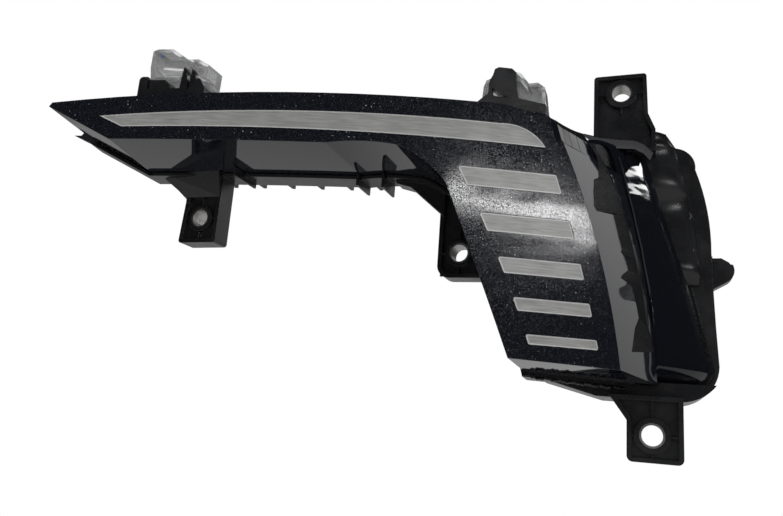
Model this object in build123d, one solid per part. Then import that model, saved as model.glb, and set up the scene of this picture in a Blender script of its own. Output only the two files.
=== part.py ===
from build123d import *
import math
import os

# Left-hand daytime running light for a bumper: an arm with one long light bar and a column with
# five short ones. X points outboard, Y points rearwards, away from the viewer, and Z points up.
# The origin is the middle of the front end of the lower fixing hole. All sizes are millimetres.

# Plan form of the front face
FACE_RADIUS = 1300.0
FACE_SWEEP = 25.0
FACE_POINT = (-50.0, -60.0)

# Front outline, as X and Z
TIP_LOW = (-286.0, 139.3)
TIP_TOP = (-284.5, 141.5)
TOP_MIDDLE = (-190.0, 151.7)
TOP_INNER = (-80.0, 156.5)
ARM_CORNER = (-250.5, 123.1)
ARM_LOWER_END = (-150.0, 127.9)
NECK_RISE = (-133.5, 130.2)
NECK_START = (-117.3, 129.8)
NECK_MIDDLE = (-103.1, 122.0)
COLUMN_INNER_TOP = (-94.0, 112.5)
COLUMN_INNER_MIDDLE = (-81.6, 80.6)
COLUMN_FOOT = (-62.7, 29.6)
TOP_ROUND_START_X = -76.0
TOP_ROUND_MIDDLE = (-54.5, 153.0)
RIGHT_TOP = (-43.6, 142.0)
RIGHT_MIDDLE = (-31.1, 96.9)
RIGHT_FOOT_X = -18.6

# The outboard side flares from the front outline to the fold behind it
FRONT_PLANE_Y = -60.0
FOLD_PLANE_Y = 8.0
FOLD_ROUND_START_X = -56.0
FOLD_ROUND_MIDDLE = (-28.0, 153.5)
FOLD_TOP = (-14.5, 142.0)
FOLD_MIDDLE = (-4.5, 96.9)
FOLD_FOOT_X = 3.9
TIP_FLARE = -0.25
FOOT_DRAFT = 0.055

# Light windows in the face
WINDOW_CORNER = 0.9
WINDOW_INNER_TOP = (-88.9, 121.8)
WINDOW_INNER_MIDDLE = (-69.6, 79.5)
WINDOW_INNER_FOOT = (-54.1, 37.1)
WINDOW_OUTER_TOP = (-43.9, 121.8)
WINDOW_OUTER_MIDDLE = (-32.4, 79.5)
WINDOW_OUTER_FOOT = (-23.6, 37.1)
BAR_TIP = (-259.5, 135.3)
BAR_TOP_MIDDLE = (-172.0, 143.3)
BAR_TOP_END = (-70.0, 146.2)
BAR_ROUND = (-55.8, 143.0)
BAR_END = (-49.0, 135.6)
BAR_LOW_END = (-70.0, 135.7)
BAR_LOW_MIDDLE = (-150.0, 134.6)
BAR_LOW_START = (-247.5, 130.0)
WINDOW_TOPS = (121.8, 98.9, 77.9, 58.9, 41.8)
WINDOW_HEIGHTS = (9.7, 8.9, 7.8, 6.4, 4.7)

# Walls and depths behind the front face
MASK_WALL = 2.5
FACE_THICKNESS = 2.8
LENS_THICKNESS = 2.2
LAND_RECESS = 0.4
MASK_DEPTH = 50.8
BEAD_DEPTH = 1.2
RIM_START = 48.0
RIM_PROUD = 2.2
RIM_GAP = 0.3
HOUSING_WALL = 2.4
SHOULDER_START = 56.0
LAP_START = 44.0
FLOOR_START = 60.0
FLOOR_THICKNESS = 2.5

# Light bar optics
GUIDE_START = 8.0
GUIDE_DEPTH = 9.0
EMITTER_ROOM = 7.2
COLLIMATOR_LENGTH = 5.2
COLLIMATOR_ROOT = 1.5
COLLIMATOR_FRONT_SIZE = 7.0
COLLIMATOR_REAR_SIZE = 3.8
ARM_PITCH = 12.0
ARM_FIRST_X = -246.0
ARM_EMITTERS = 16
BOARD_THICKNESS = 1.6
LED_SIZE = 3.0
LED_HEIGHT = 0.8
REFLECTOR_WALL = 1.6
REFLECTOR_START = 5.2
GUIDE_GAP = 0.3
INNER_GAP = 0.5
SEAT_GAP = 0.02
GUIDE_MARGIN = 1.0
CARRIER_THICKNESS = 2.0
COLUMN_EMITTERS = 3
COLUMN_COLLIMATOR_SIZE = 6.0
BOARD_MARGIN = 4.4
SINK_PLATE = 2.5
SINK_FIN = 1.6
SINK_FIN_PITCH = 7.0
SINK_FIN_HEIGHT = 11.0
SINK_TOP = 121.5

# Screws that hold the light boards to posts on the housing floor
POST_DIAMETER = 6.0
SCREW_DIAMETER = 2.4
SCREW_HEAD = 4.4
SCREW_HEAD_HEIGHT = 1.6
SCREW_LENGTH = 9.0
SCREW_PLAY = 0.1
ARM_SCREWS = (2, 8, 14)
COLUMN_SCREWS = ((-73.0, 105.5), (-48.0, 105.5), (-50.0, 47.3), (-33.5, 47.3))

# Outboard cover panel: X of its surface at three heights, on its front edge and its rear edge
COVER_TOP = 166.0
COVER_FOOT = 27.5
COVER_HIGH_Z = 150.0
COVER_MIDDLE_Z = 96.0
COVER_LOW_Z = 40.0
COVER_FRONT_X = (-16.5, -4.3, 2.8)
COVER_REAR_X = (4.0, 18.4, 31.0)
COVER_BULGE = 2.6
COVER_LEAN = 1.2
COVER_CORNER = 10.0
COVER_FRONT_Y = 6.6
COVER_THICKNESS = 2.4
COVER_GAP = 0.2
MASK_REAR_Y = 6.0

# Rear compartment
TRAY_FRONT_Y = 40.0
TRAY_REAR_Y = 56.0
TRAY_WALL = 2.4
LID_THICKNESS = 2.5
LID_LIP = 4.0
LID_GAP = 0.2
SEAL_THICKNESS = 1.0
POCKET_FRONT_Y = 6.0

# Connector and vent on the rear lid
SOCKET_CENTER = (-38.0, 60.0)
SOCKET_WIDTH = 25.0
SOCKET_HEIGHT = 15.0
SOCKET_WALL = 1.8
SOCKET_REACH = 17.0
PIN_SIZE = 1.5
PIN_PITCH = 5.0
PIN_COUNT = 4
VENT_CENTER = (-60.0, 132.0)
VENT_DIAMETER = 16.0

# Fixings
SLEEVE_WALL = 1.0
FIXING_DEPTH = 12.0
FIXING_WALL = 2.4
FIXING_FLOOR = 2.6
FIXING_RIB = 1.6
FIXING_RIB_STEP = 2.0
LARGE_BORE = 10.6
LARGE_BOSS = 18.0
SMALL_BORE = 9.4
SMALL_BOSS = 15.0
UPPER_FIXING = (-16.0, 15.0, 198.0)
ARM_FIXING = (-234.2, -78.0, 98.5)
MIDDLE_FIXING = (-98.4, -30.0, 89.2)
LOWER_FIXING = (0.0, 0.0, 0.0)

# The brackets on the mask's top and the clear blocks on them
BRACKET_DEPTH = 20.0
LEFT_BRACKET_DEPTH = 14.0
RIGHT_BRACKET_DEPTH = 16.0
PRONG_THICKNESS = 4.0
CLEAR_WALL = 1.8
CLEAR_BACK = 3.2
CLEAR_PLAY = 0.5

# The strip and hook under the tip, and fins under the arm: X, drop, near and far depth
TIP_STRIP_NEAR = 48.0
TIP_STRIP_FAR = 53.0
TIP_HOOK_NEAR = 48.0
TIP_HOOK_FAR = 58.0
FIN_THICKNESS = 1.2
FINS = ((-212.0, 9.0, 38.0, 60.0), (-151.0, 8.0, 44.0, 62.0), (-138.0, 8.0, 44.0, 62.0))
RIB_THICKNESS = 1.6
RIB_PITCH = 16.0
RIB_HEIGHT = 6.0
PEG_Y = 42.0
PEG_THICKNESS = 9.0
WIRE_OPENING = (-70.0, 136.0)

# Glue beads
BEAD_WIDTH = 2.4
BEAD_PROUD = 1.4

# Rear lid and the driver behind the column
LID_SCREWS = ((-90.6, 158.0), (19.4, 160.0), (-52.0, 29.8), (30.2, 40.0))
LID_RIBS = (-75.0, -45.0, -15.0, 15.0)
LID_RIB_MIDDLE = 92.0
LID_RIB_LENGTH = 120.0
VENT_STEM = 7.0
DRIVER_REAR_Y = 50.0
DRIVER_SPAN = (38.0, 112.0)
DRIVER_WIDTH = 50.0
JUMPER_X = -84.0
JUMPER_FOOT = 122.5

# Limits of the working space, well outside the lamp
FAR_LEFT = -340.0
FAR_RIGHT = 110.0
FAR_LOW = -40.0
FAR_HIGH = 240.0
FAR_FRONT = -170.0
FAR_REAR = 110.0


def face_center():
    """The plan centre of the front face's arc."""
    sweep = math.radians(FACE_SWEEP)
    return (
        FACE_POINT[0] - FACE_RADIUS * math.sin(sweep),
        FACE_POINT[1] + FACE_RADIUS * math.cos(sweep),
    )


def face_y(x):
    """The front face's Y at a given X."""
    cx, cy = face_center()
    return cy - math.sqrt(FACE_RADIUS**2 - (x - cx) ** 2)


def sweep_at(x):
    """The front face's sweep at a given X, in radians."""
    return math.asin((x - face_center()[0]) / FACE_RADIUS)


def upright(sketch):
    """A sketch stood up, with its Y as the part's Z."""
    return Plane.XZ * sketch


def prism(sketch, near=FAR_FRONT, far=FAR_REAR):
    """A front-view sketch taken straight back from one Y to another."""
    return extrude(Pos(0, near, 0) * upright(sketch), amount=far - near, dir=(0, 1, 0))


def band(near, far):
    """All the space between two depths behind the front face."""
    middle = (FAR_LEFT + FAR_RIGHT) / 2
    front = ThreePointArc(*[(x, face_y(x) + near) for x in (FAR_LEFT, middle, FAR_RIGHT)])
    rear = ThreePointArc(*[(x, face_y(x) + far) for x in (FAR_RIGHT, middle, FAR_LEFT)])
    plan = make_face([front, Line(front @ 1, rear @ 0), rear, Line(rear @ 1, front @ 0)])
    return extrude(Pos(0, 0, FAR_LOW) * plan, amount=FAR_HIGH - FAR_LOW)


def closed(start, *steps):
    """A flat face: each step is a point for a straight edge, or a pair of points for an arc."""
    edges = []
    here = start
    for step in steps:
        if isinstance(step[0], tuple):
            edges.append(ThreePointArc(here, step[0], step[1]))
            here = step[1]
        else:
            edges.append(Line(here, step))
            here = step
    edges.append(Line(here, start))
    return make_face(edges)


def arm_and_column():
    """The front outline without its outboard edge and its tip, which flare with depth."""
    return closed(
        (FAR_LEFT, TIP_TOP[1] - 8.0),
        TIP_TOP,
        (TOP_MIDDLE, TOP_INNER),
        (TOP_INNER[0] + 20.0, FAR_HIGH),
        (FAR_RIGHT, FAR_HIGH),
        (FAR_RIGHT, FAR_LOW),
        (COLUMN_FOOT[0] + 17.0, FAR_LOW),
        COLUMN_FOOT,
        (COLUMN_INNER_MIDDLE, COLUMN_INNER_TOP),
        (NECK_MIDDLE, NECK_START),
        (NECK_RISE, ARM_LOWER_END),
        (FAR_LEFT, ARM_CORNER[1] - 4.0),
    )


def outboard_section(plane_y):
    """What lies inboard of the flared side, at one Y."""
    share = (plane_y - FRONT_PLANE_Y) / (FOLD_PLANE_Y - FRONT_PLANE_Y)

    def between(front, fold):
        return front + (fold - front) * share

    top = TOP_INNER[1]
    corner = between(TOP_ROUND_START_X, FOLD_ROUND_START_X)
    corner_middle = (between(TOP_ROUND_MIDDLE[0], FOLD_ROUND_MIDDLE[0]), TOP_ROUND_MIDDLE[1])
    right_top = (between(RIGHT_TOP[0], FOLD_TOP[0]), RIGHT_TOP[1])
    right_middle = (between(RIGHT_MIDDLE[0], FOLD_MIDDLE[0]), RIGHT_MIDDLE[1])
    foot = (between(RIGHT_FOOT_X, FOLD_FOOT_X), COLUMN_FOOT[1] - 15.0)
    return closed(
        (FAR_LEFT, top),
        (corner, top),
        (corner_middle, right_top),
        (right_middle, foot),
        (FAR_LEFT, foot[1]),
    )


def outboard_limit(inset):
    """The space inboard of the flared side, drawn in by a wall."""
    sections = []
    for plane_y in (FAR_FRONT, FAR_REAR):
        drawn = outboard_section(plane_y)
        if inset:
            drawn = offset(drawn, -inset, kind=Kind.INTERSECTION)
        sections.append(Pos(0, plane_y, 0) * upright(drawn))
    return loft(sections, ruled=True)


def tip_limit(inset):
    """The space outboard of the slanted tip, which flares inboard with depth."""
    slope = (TIP_LOW[1] - ARM_CORNER[1]) / (TIP_LOW[0] - ARM_CORNER[0])
    low = (ARM_CORNER[0] + 50.0, ARM_CORNER[1] + 50.0 * slope)
    section = closed(
        low,
        TIP_LOW,
        TIP_TOP,
        (TIP_TOP[0] + 30.0, FAR_HIGH),
        (FAR_RIGHT, FAR_HIGH),
        (FAR_RIGHT, FAR_LOW - 20.0),
        (low[0], FAR_LOW - 20.0),
    )
    if inset:
        section = offset(section, -inset, kind=Kind.INTERSECTION)
    tip_plane = face_y(TIP_LOW[0])
    start = FAR_FRONT
    length = FAR_REAR - start
    section = Pos(TIP_FLARE * (start - tip_plane), start, 0) * upright(section)
    return Solid.extrude(section.face(), Vector(TIP_FLARE * length, length, 0))


def foot_limit(inset):
    """The space above the foot of the column, which falls a little with depth."""
    low = COLUMN_FOOT[1] + inset
    front_y = FRONT_PLANE_Y
    side = make_face(
        Polyline(
            (FAR_FRONT, low - FOOT_DRAFT * (FAR_FRONT - front_y)),
            (FAR_REAR, low - FOOT_DRAFT * (FAR_REAR - front_y)),
            (FAR_REAR, FAR_HIGH),
            (FAR_FRONT, FAR_HIGH),
            close=True,
        )
    )
    return extrude(Pos(FAR_LEFT, 0, 0) * (Plane.YZ * side), amount=FAR_RIGHT - FAR_LEFT)


def lamp_block(inset, near, far, side_inset=None):
    """The lamp's outer form, drawn in by a wall on all sides, between two depths."""
    front = arm_and_column()
    if inset:
        front = offset(front, -inset, kind=Kind.TANGENT)
    block = prism(front) & band(near, far)
    block = block & outboard_limit(inset if side_inset is None else side_inset)
    block = block & tip_limit(inset)
    return block & foot_limit(inset)


def bar_window():
    """The long window in the arm."""
    return closed(
        BAR_TIP,
        (BAR_TOP_MIDDLE, BAR_TOP_END),
        (BAR_ROUND, BAR_END),
        BAR_LOW_END,
        (BAR_LOW_MIDDLE, BAR_LOW_START),
    )


def window_field():
    """The part of the column's face that holds its five windows."""
    return closed(
        WINDOW_INNER_TOP,
        (WINDOW_INNER_MIDDLE, WINDOW_INNER_FOOT),
        WINDOW_OUTER_FOOT,
        (WINDOW_OUTER_MIDDLE, WINDOW_OUTER_TOP),
    )


def column_windows():
    """The five short windows, one below the other."""
    windows = []
    for top, height in zip(WINDOW_TOPS, WINDOW_HEIGHTS):
        strip = Pos(0, top - height / 2) * Rectangle(400.0, height)
        window = window_field() & strip
        windows.append(fillet(window.vertices(), WINDOW_CORNER))
    return windows


def grown(sketch, margin):
    """A sketch grown by a margin with sharp corners."""
    return offset(sketch, margin, kind=Kind.INTERSECTION)


def on_curve(x, z, depth):
    """A plane on the curve of the face at some depth, with its Z pointing rearwards."""
    sweep = sweep_at(x)
    origin = (x, face_y(x) + depth, z)
    along = (math.cos(sweep), math.sin(sweep), 0)
    return Plane(origin=origin, x_dir=along, z_dir=(-math.sin(sweep), math.cos(sweep), 0))


def bar_height(x):
    """The height of the middle of the long window at a given X."""
    chord = Line((x, FAR_LOW), (x, FAR_HIGH)) & bar_window()
    return (chord.edges()[0] @ 0.5).Y


def arm_emitters():
    """X and Z of each light source of the arm."""
    points = []
    for index in range(ARM_EMITTERS):
        x = ARM_FIRST_X + ARM_PITCH * index
        points.append((x, bar_height(x)))
    return points


def arm_screws():
    """X and Z of each screw of the arm's board, midway between two light sources."""
    points = []
    for index in ARM_SCREWS:
        x = ARM_FIRST_X + ARM_PITCH * (index - 0.5)
        points.append((x, bar_height(x)))
    return points


def column_emitters():
    """X and Z of each light source of the column."""
    points = []
    for window in column_windows():
        box = window.bounding_box()
        for index in range(COLUMN_EMITTERS):
            share = (index + 0.5) / COLUMN_EMITTERS
            points.append((box.min.X + share * box.size.X, box.center().Y))
    return points


BAR_BACK = GUIDE_START + GUIDE_DEPTH
BOARD_START = BAR_BACK + EMITTER_ROOM
BOARD_END = BOARD_START + BOARD_THICKNESS
SINK_END = BOARD_END + SINK_PLATE
BEAD_END = MASK_DEPTH + BEAD_DEPTH
FLOOR_END = FLOOR_START + FLOOR_THICKNESS


def lens_mask():
    """The black shot of the outer lens: a face with six windows, and its return walls."""
    shell = lamp_block(0, 0, MASK_DEPTH)
    shell -= lamp_block(MASK_WALL, FACE_THICKNESS, MASK_DEPTH + 10.0)
    shell -= prism(bar_window()) & band(-5.0, FACE_THICKNESS + 1.0)
    for window in column_windows():
        shell -= prism(window) & band(-5.0, FACE_THICKNESS + 1.0)
    return shell & half_space(FAR_FRONT, MASK_REAR_Y)


def half_space(near, far):
    """All the space between two values of Y."""
    width = FAR_RIGHT - FAR_LEFT
    height = FAR_HIGH - FAR_LOW + 60.0
    center = Pos((FAR_LEFT + FAR_RIGHT) / 2, (near + far) / 2, (FAR_HIGH + FAR_LOW) / 2)
    return center * Box(width, far - near, height)


def window_lens():
    """The clear shot of the outer lens: a plate behind the mask with a land in each window."""
    back = FACE_THICKNESS + LENS_THICKNESS
    plate = lamp_block(MASK_WALL + 0.2, FACE_THICKNESS, back)
    plate += prism(bar_window()) & band(LAND_RECESS, FACE_THICKNESS + 0.5)
    for window in column_windows():
        plate += prism(window) & band(LAND_RECESS, FACE_THICKNESS + 0.5)
    return plate


def collimator(x, z, front_size):
    """One tapered block that gathers a light source's light into a guide."""
    length = COLLIMATOR_LENGTH + COLLIMATOR_ROOT
    start = -EMITTER_ROOM * math.cos(sweep_at(x)) - COLLIMATOR_ROOT
    block = loft(
        [
            Rectangle(front_size, front_size),
            Pos(0, 0, length) * Rectangle(COLLIMATOR_REAR_SIZE, COLLIMATOR_REAR_SIZE),
        ],
        ruled=True,
    )
    return on_curve(x, z, BOARD_START) * (Pos(0, 0, start) * block)


def arm_light_guide():
    """The thick clear bar behind the arm's window, with a row of collimators."""
    bar = prism(grown(bar_window(), GUIDE_MARGIN)) & band(GUIDE_START, BAR_BACK)
    for x, z in arm_emitters():
        bar += collimator(x, z, COLLIMATOR_FRONT_SIZE)
    return bar


def arm_reflector():
    """The bright frame round the light bar, from the lens back to the board."""
    inner = grown(bar_window(), GUIDE_MARGIN + GUIDE_GAP)
    outer = grown(bar_window(), GUIDE_MARGIN + GUIDE_GAP + REFLECTOR_WALL)
    frame = prism(outer - inner) & band(REFLECTOR_START, BOARD_START)
    return frame & inside_mask()


def inside_mask():
    """The space inside the mask's walls, less a clearance."""
    return lamp_block(MASK_WALL + INNER_GAP, FACE_THICKNESS, MASK_DEPTH)


def board(sketch, screws):
    """A light board with a hole for each screw."""
    plate = prism(sketch) & band(BOARD_START, BOARD_END) & inside_mask()
    for x, z in screws:
        hole = Cylinder(SCREW_DIAMETER / 2 + SCREW_PLAY, 12.0)
        plate -= on_curve(x, z, BOARD_START) * hole
    return plate


def leds(points):
    """One light source at each point, seated on the front of its board."""
    chips = []
    for x, z in points:
        chip = Box(
            LED_SIZE,
            LED_SIZE,
            LED_HEIGHT,
            align=(Align.CENTER, Align.CENTER, Align.MAX),
        )
        chips.append(on_curve(x, z, BOARD_START) * chip)
    return Compound(chips)


def column_light_guide():
    """The clear inner lens of the column: five blocks and their collimators on one plate."""
    plate = grown(window_field(), 2.3)
    guide = prism(plate) & band(BAR_BACK - CARRIER_THICKNESS, BAR_BACK)
    for window in column_windows():
        guide += prism(grown(window, GUIDE_MARGIN)) & band(GUIDE_START, BAR_BACK - 0.5)
    for x, z in column_emitters():
        guide += collimator(x, z, COLUMN_COLLIMATOR_SIZE)
    return guide


def column_reflector():
    """The bright frame of the column: a plate with a collar round each window, and a skirt."""
    collar_gap = GUIDE_MARGIN + GUIDE_GAP
    field = window_field()
    outer = grown(field, BOARD_MARGIN - 0.2)
    skirt = prism(outer - grown(field, 2.3 + GUIDE_GAP)) & band(REFLECTOR_START, BOARD_START)
    frame = skirt + (prism(outer) & band(REFLECTOR_START, REFLECTOR_START + REFLECTOR_WALL))
    collar_end = BAR_BACK - CARRIER_THICKNESS - GUIDE_GAP
    for window in column_windows():
        collar = grown(window, collar_gap + 1.2)
        frame += prism(collar) & band(REFLECTOR_START, collar_end)
    for window in column_windows():
        frame -= prism(grown(window, collar_gap)) & band(0, BAR_BACK)
    return frame


def heat_sink():
    """The finned aluminium plate behind the column's board."""
    field = grown(window_field(), BOARD_MARGIN)
    field = field & (Pos(0, SINK_TOP - 200.0) * Rectangle(600.0, 400.0))
    sink = prism(field) & band(BOARD_END, SINK_END)
    box = field.bounding_box()
    fins = int((box.size.X - 6.0) // SINK_FIN_PITCH)
    tips = prism(offset(field, -2.0, kind=Kind.ARC))
    tips = tips & band(SINK_END - 0.2, SINK_END + SINK_FIN_HEIGHT)
    for index in range(fins + 1):
        x = box.min.X + 4.0 + SINK_FIN_PITCH * index
        fin = Pos(x, 0, box.center().Y) * Box(SINK_FIN, 400.0, box.size.Y)
        sink += fin & tips
    base = (Align.CENTER, Align.CENTER, Align.MIN)
    for x, z in COLUMN_SCREWS:
        seat = Pos(0, 0, (SINK_END - BOARD_START) * math.cos(sweep_at(x)))
        clearance = Cylinder(POST_DIAMETER / 2 + 1.0, SINK_FIN_HEIGHT * 2, align=base)
        sink -= on_curve(x, z, BOARD_START) * (seat * clearance)
        sink -= on_curve(x, z, BOARD_START) * Cylinder(SCREW_DIAMETER / 2 + SCREW_PLAY, 12.0)
    return sink


def screw(x, z, depth):
    """One pan-head screw with its head on a surface at some depth."""
    base = (Align.CENTER, Align.CENTER, Align.MIN)
    head = Cylinder(
        SCREW_HEAD / 2, SCREW_HEAD_HEIGHT, align=(Align.CENTER, Align.CENTER, Align.MAX)
    )
    shank = Cylinder(SCREW_DIAMETER / 2, SCREW_LENGTH, align=base)
    return on_curve(x, z, depth) * (Pos(0, 0, -SEAT_GAP) * (head + shank))


def board_screws():
    """All the screws of the two light boards."""
    points = arm_screws() + list(COLUMN_SCREWS)
    return Compound([screw(x, z, BOARD_START) for x, z in points])


def posts():
    """The posts on the housing floor that carry the boards."""
    group = []
    starts = [(point, BOARD_END) for point in arm_screws()]
    starts += [(point, SINK_END) for point in COLUMN_SCREWS]
    for (x, z), start in starts:
        level = math.cos(sweep_at(x))
        seat = (start - BOARD_START) * level + SEAT_GAP
        length = (FLOOR_START + 1.0 - BOARD_START) * level - seat
        base = (Align.CENTER, Align.CENTER, Align.MIN)
        post = Pos(0, 0, seat) * Cylinder(POST_DIAMETER / 2, length, align=base)
        pilot = Cylinder(SCREW_DIAMETER / 2 + SCREW_PLAY / 2, SCREW_LENGTH + 1.0, align=base)
        group.append(on_curve(x, z, BOARD_START) * (post - pilot))
    return group


def blend(start, middle, end, share):
    """The value at a share of the way on the parabola through three values."""
    first = start * (1 - share) * (1 - 2 * share)
    second = middle * 4 * share * (1 - share)
    return first + second + end * share * (2 * share - 1)


def cover_x(y, z):
    """X of the outboard cover's surface."""
    share = (y - COVER_FRONT_Y) / (TRAY_FRONT_Y - COVER_FRONT_Y)
    ends = zip(COVER_FRONT_X, COVER_REAR_X)
    high, middle, low = [
        blend(front, (front + rear) / 2 + COVER_BULGE, rear, share) for front, rear in ends
    ]
    return blend(high, middle, low, (COVER_HIGH_Z - z) / (COVER_HIGH_Z - COVER_LOW_Z))


def cover_limit(inset, near=COVER_FRONT_Y, far=TRAY_FRONT_Y):
    """The space inboard of the outboard cover's surface, between two planes."""
    side = inset * COVER_LEAN
    rows = []
    for row in range(7):
        y = COVER_FRONT_Y - 4.0 + row * 8.0
        heights = [COVER_FOOT - 8.0 + step * 25.0 for step in range(7)]
        rows.append([Vector(cover_x(y, z) - side, y, z) for z in heights])
    surface = Face.make_surface_from_array_of_points(rows, tol=0.002)
    space = Solid.extrude(surface, Vector(-300.0, 0, 0))
    low = COVER_FOOT + inset
    high = COVER_TOP - inset
    keep = Pos(-100.0, near, low) * Box(
        400.0, far - near, high - low, align=(Align.CENTER, Align.MIN, Align.MIN)
    )
    space = space & keep
    corners = [
        edge
        for edge in space.edges()
        if edge.center().X > -30.0
        and (abs(edge.center().Z - low) < 0.01 or abs(edge.center().Z - high) < 0.01)
        and abs(edge.bounding_box().size.Y - (far - near)) < 0.01
    ]
    return fillet(corners, COVER_CORNER - inset)


def side_cover():
    """The convex gloss panel on the outboard side, with a return along its top."""
    panel = cover_limit(0) - cover_limit(COVER_THICKNESS, COVER_FRONT_Y - 1.0, TRAY_FRONT_Y + 1.0)
    keep = Pos(-40.0, 0, FAR_LOW) * Box(
        FAR_RIGHT + 40.0, 400.0, FAR_HIGH, align=(Align.MIN, Align.CENTER, Align.MIN)
    )
    panel = panel & keep
    x, y, z = UPPER_FIXING
    slot = grown(upper_outline(), COVER_GAP + 0.1)
    panel -= prism(slot, y - COVER_GAP, y + FIXING_DEPTH + COVER_GAP)
    pan = lamp_block(
        -RIM_PROUD - COVER_GAP,
        LAP_START - COVER_GAP,
        FLOOR_END + COVER_GAP,
        side_inset=MASK_WALL + RIM_GAP - COVER_GAP,
    )
    return panel - pan - pocket(-COVER_GAP)


def rear_outline():
    """The rear compartment seen from the front, with its raised lobe."""
    return closed(
        (-61.0, 27.0),
        (-28.0, 18.6),
        (16.4, 18.0),
        ((30.0, 25.8), (35.5, 40.0)),
        ((33.7, 76.0), (32.9, 105.0)),
        ((31.3, 131.0), (25.3, 156.6)),
        ((21.5, 167.5), (14.5, 171.0)),
        (9.0, 180.5),
        ((-4.0, 184.0), (-20.0, 180.5)),
        (-31.0, 171.0),
        (-96.0, 166.0),
        (-96.0, 128.0),
        (-88.0, 98.0),
    )


def rear_body(inset):
    """The compartment behind the column: a shoulder under the cover and a wider tray."""
    outline = rear_outline()
    if inset:
        outline = offset(outline, -inset, kind=Kind.ARC)
    near = COVER_FRONT_Y - 1.0
    shoulder = cover_limit(COVER_THICKNESS + COVER_GAP + inset, near, TRAY_FRONT_Y + inset + 1.0)
    shoulder += rear_bridge(inset)
    shoulder = shoulder & prism(outline)
    tray = prism(outline, TRAY_FRONT_Y + inset, TRAY_REAR_Y + (5.0 if inset else 0.0))
    return shoulder + tray


def rear_bridge(inset):
    """The stretch of the compartment between the housing's floor and the cover's front edge."""
    top = COVER_TOP - COVER_THICKNESS - COVER_GAP - inset
    block = outboard_limit(MASK_WALL + RIM_GAP + inset)
    block = block & half_space(-60.0, COVER_FRONT_Y - COVER_GAP)
    return block & prism(Pos(0, top - 300.0) * Rectangle(1000.0, 600.0))


def pocket(inset):
    """The low pocket under the column's foot, in front of the tray."""
    reach = closed(
        (-58.0, 40.0),
        (-58.0, 0.0),
        (60.0, 0.0),
        (60.0, COVER_FOOT - COVER_GAP),
        (-10.0, COVER_FOOT - COVER_GAP),
        (-10.0, 40.0),
    )
    section = rear_outline() & reach
    if inset:
        section = offset(section, -inset, kind=Kind.INTERSECTION)
    return prism(section, POCKET_FRONT_Y + inset, TRAY_FRONT_Y + abs(inset))


def bored(center, bore, length, start=0.0):
    """A round bar along Y whose front end lies at a fixing's centre."""
    x, y, z = center
    plane = Plane(origin=(x, y + start, z), x_dir=(1, 0, 0), z_dir=(0, 1, 0))
    base = (Align.CENTER, Align.CENTER, Align.MIN)
    return plane * Cylinder(bore / 2, length, align=base)


def fixing_tab(center, outline, boss, bore, ribs):
    """A box tab open to the front, with a boss, its ribs and the seat of a metal sleeve."""
    x, y, z = center
    tab = prism(outline, y, y + FIXING_DEPTH)
    hollow = offset(outline, -FIXING_WALL, kind=Kind.ARC)
    tab -= prism(hollow, y - 1.0, y + FIXING_DEPTH - FIXING_FLOOR)
    rib_space = prism(offset(outline, -FIXING_WALL / 2, kind=Kind.ARC))
    for angle in ribs:
        rib = Pos(60.0, 0) * Rectangle(120.0, FIXING_RIB)
        rib = Pos(x, z) * (Rot(0, 0, angle) * rib)
        tab += prism(rib, y + FIXING_RIB_STEP, y + FIXING_DEPTH - 0.5) & rib_space
    tab += bored(center, boss, FIXING_DEPTH)
    return tab


def sleeve(center, bore):
    """A metal sleeve that takes the load of the fixing screw."""
    tube = bored(center, bore + 2 * SLEEVE_WALL, FIXING_DEPTH)
    return tube - bored(center, bore, FIXING_DEPTH + 2.0, -1.0)


def upper_outline():
    """The upper fixing's tab, standing on the shoulder."""
    x, _, z = UPPER_FIXING
    foot = COVER_TOP - COVER_THICKNESS - 3.0
    body = closed(
        (x - 15.7, foot),
        (x - 15.7, z + 12.0),
        (x + 14.2, z + 12.0),
        (x + 15.0, z - 14.0),
        (x + 19.0, z - 24.0),
        (x + 19.0, foot),
    )
    corners = [v for v in body.vertices() if v.Y > z + 11.0]
    return fillet(corners, 2.0)


def arm_outline():
    """The arm fixing's tab, hanging under the arm."""
    x, _, z = ARM_FIXING
    body = closed(
        (x - 12.3, z - 14.0),
        (x - 10.8, z + 9.0),
        (x - 10.8, ARM_CORNER[1] + 2.0),
        (x + 11.4, ARM_CORNER[1] + 2.0),
        (x + 11.4, z - 14.0),
    )
    corners = [v for v in body.vertices() if v.Y < z]
    return fillet(corners, 1.6)


def middle_outline():
    """The middle fixing's tab, beside the column and under the arm."""
    x, _, z = MIDDLE_FIXING
    body = closed(
        (x - 12.0, z - 13.8),
        (x - 12.0, NECK_START[1] - 4.0),
        (x + 19.0, NECK_START[1] - 4.0),
        (x + 19.0, z - 13.8),
    )
    corner = [v for v in body.vertices() if v.Y < z and v.X < x]
    return fillet(corner, 7.0)


def lower_outline():
    """The lower fixing's tab, hanging under the rear pocket."""
    x, _, z = LOWER_FIXING
    body = closed(
        (x - 12.4, z - 13.6),
        (x - 12.4, z + 7.0),
        (x - 21.6, z + 20.0),
        (x + 15.0, z + 20.0),
        (x + 15.0, z - 13.6),
    )
    corners = [v for v in body.vertices() if v.Y < z]
    return fillet(corners, 3.0)


def tabs():
    """The four fixing tabs."""
    return [
        fixing_tab(UPPER_FIXING, upper_outline(), LARGE_BOSS, LARGE_BORE, (0, 90, 180, 270)),
        fixing_tab(ARM_FIXING, arm_outline(), SMALL_BOSS, SMALL_BORE, (0, 90, 180, 270)),
        fixing_tab(MIDDLE_FIXING, middle_outline(), SMALL_BOSS, SMALL_BORE, (90, 180, 270)),
        fixing_tab(LOWER_FIXING, lower_outline(), LARGE_BOSS, LARGE_BORE, (0, 90, 180, 270)),
    ]


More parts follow.
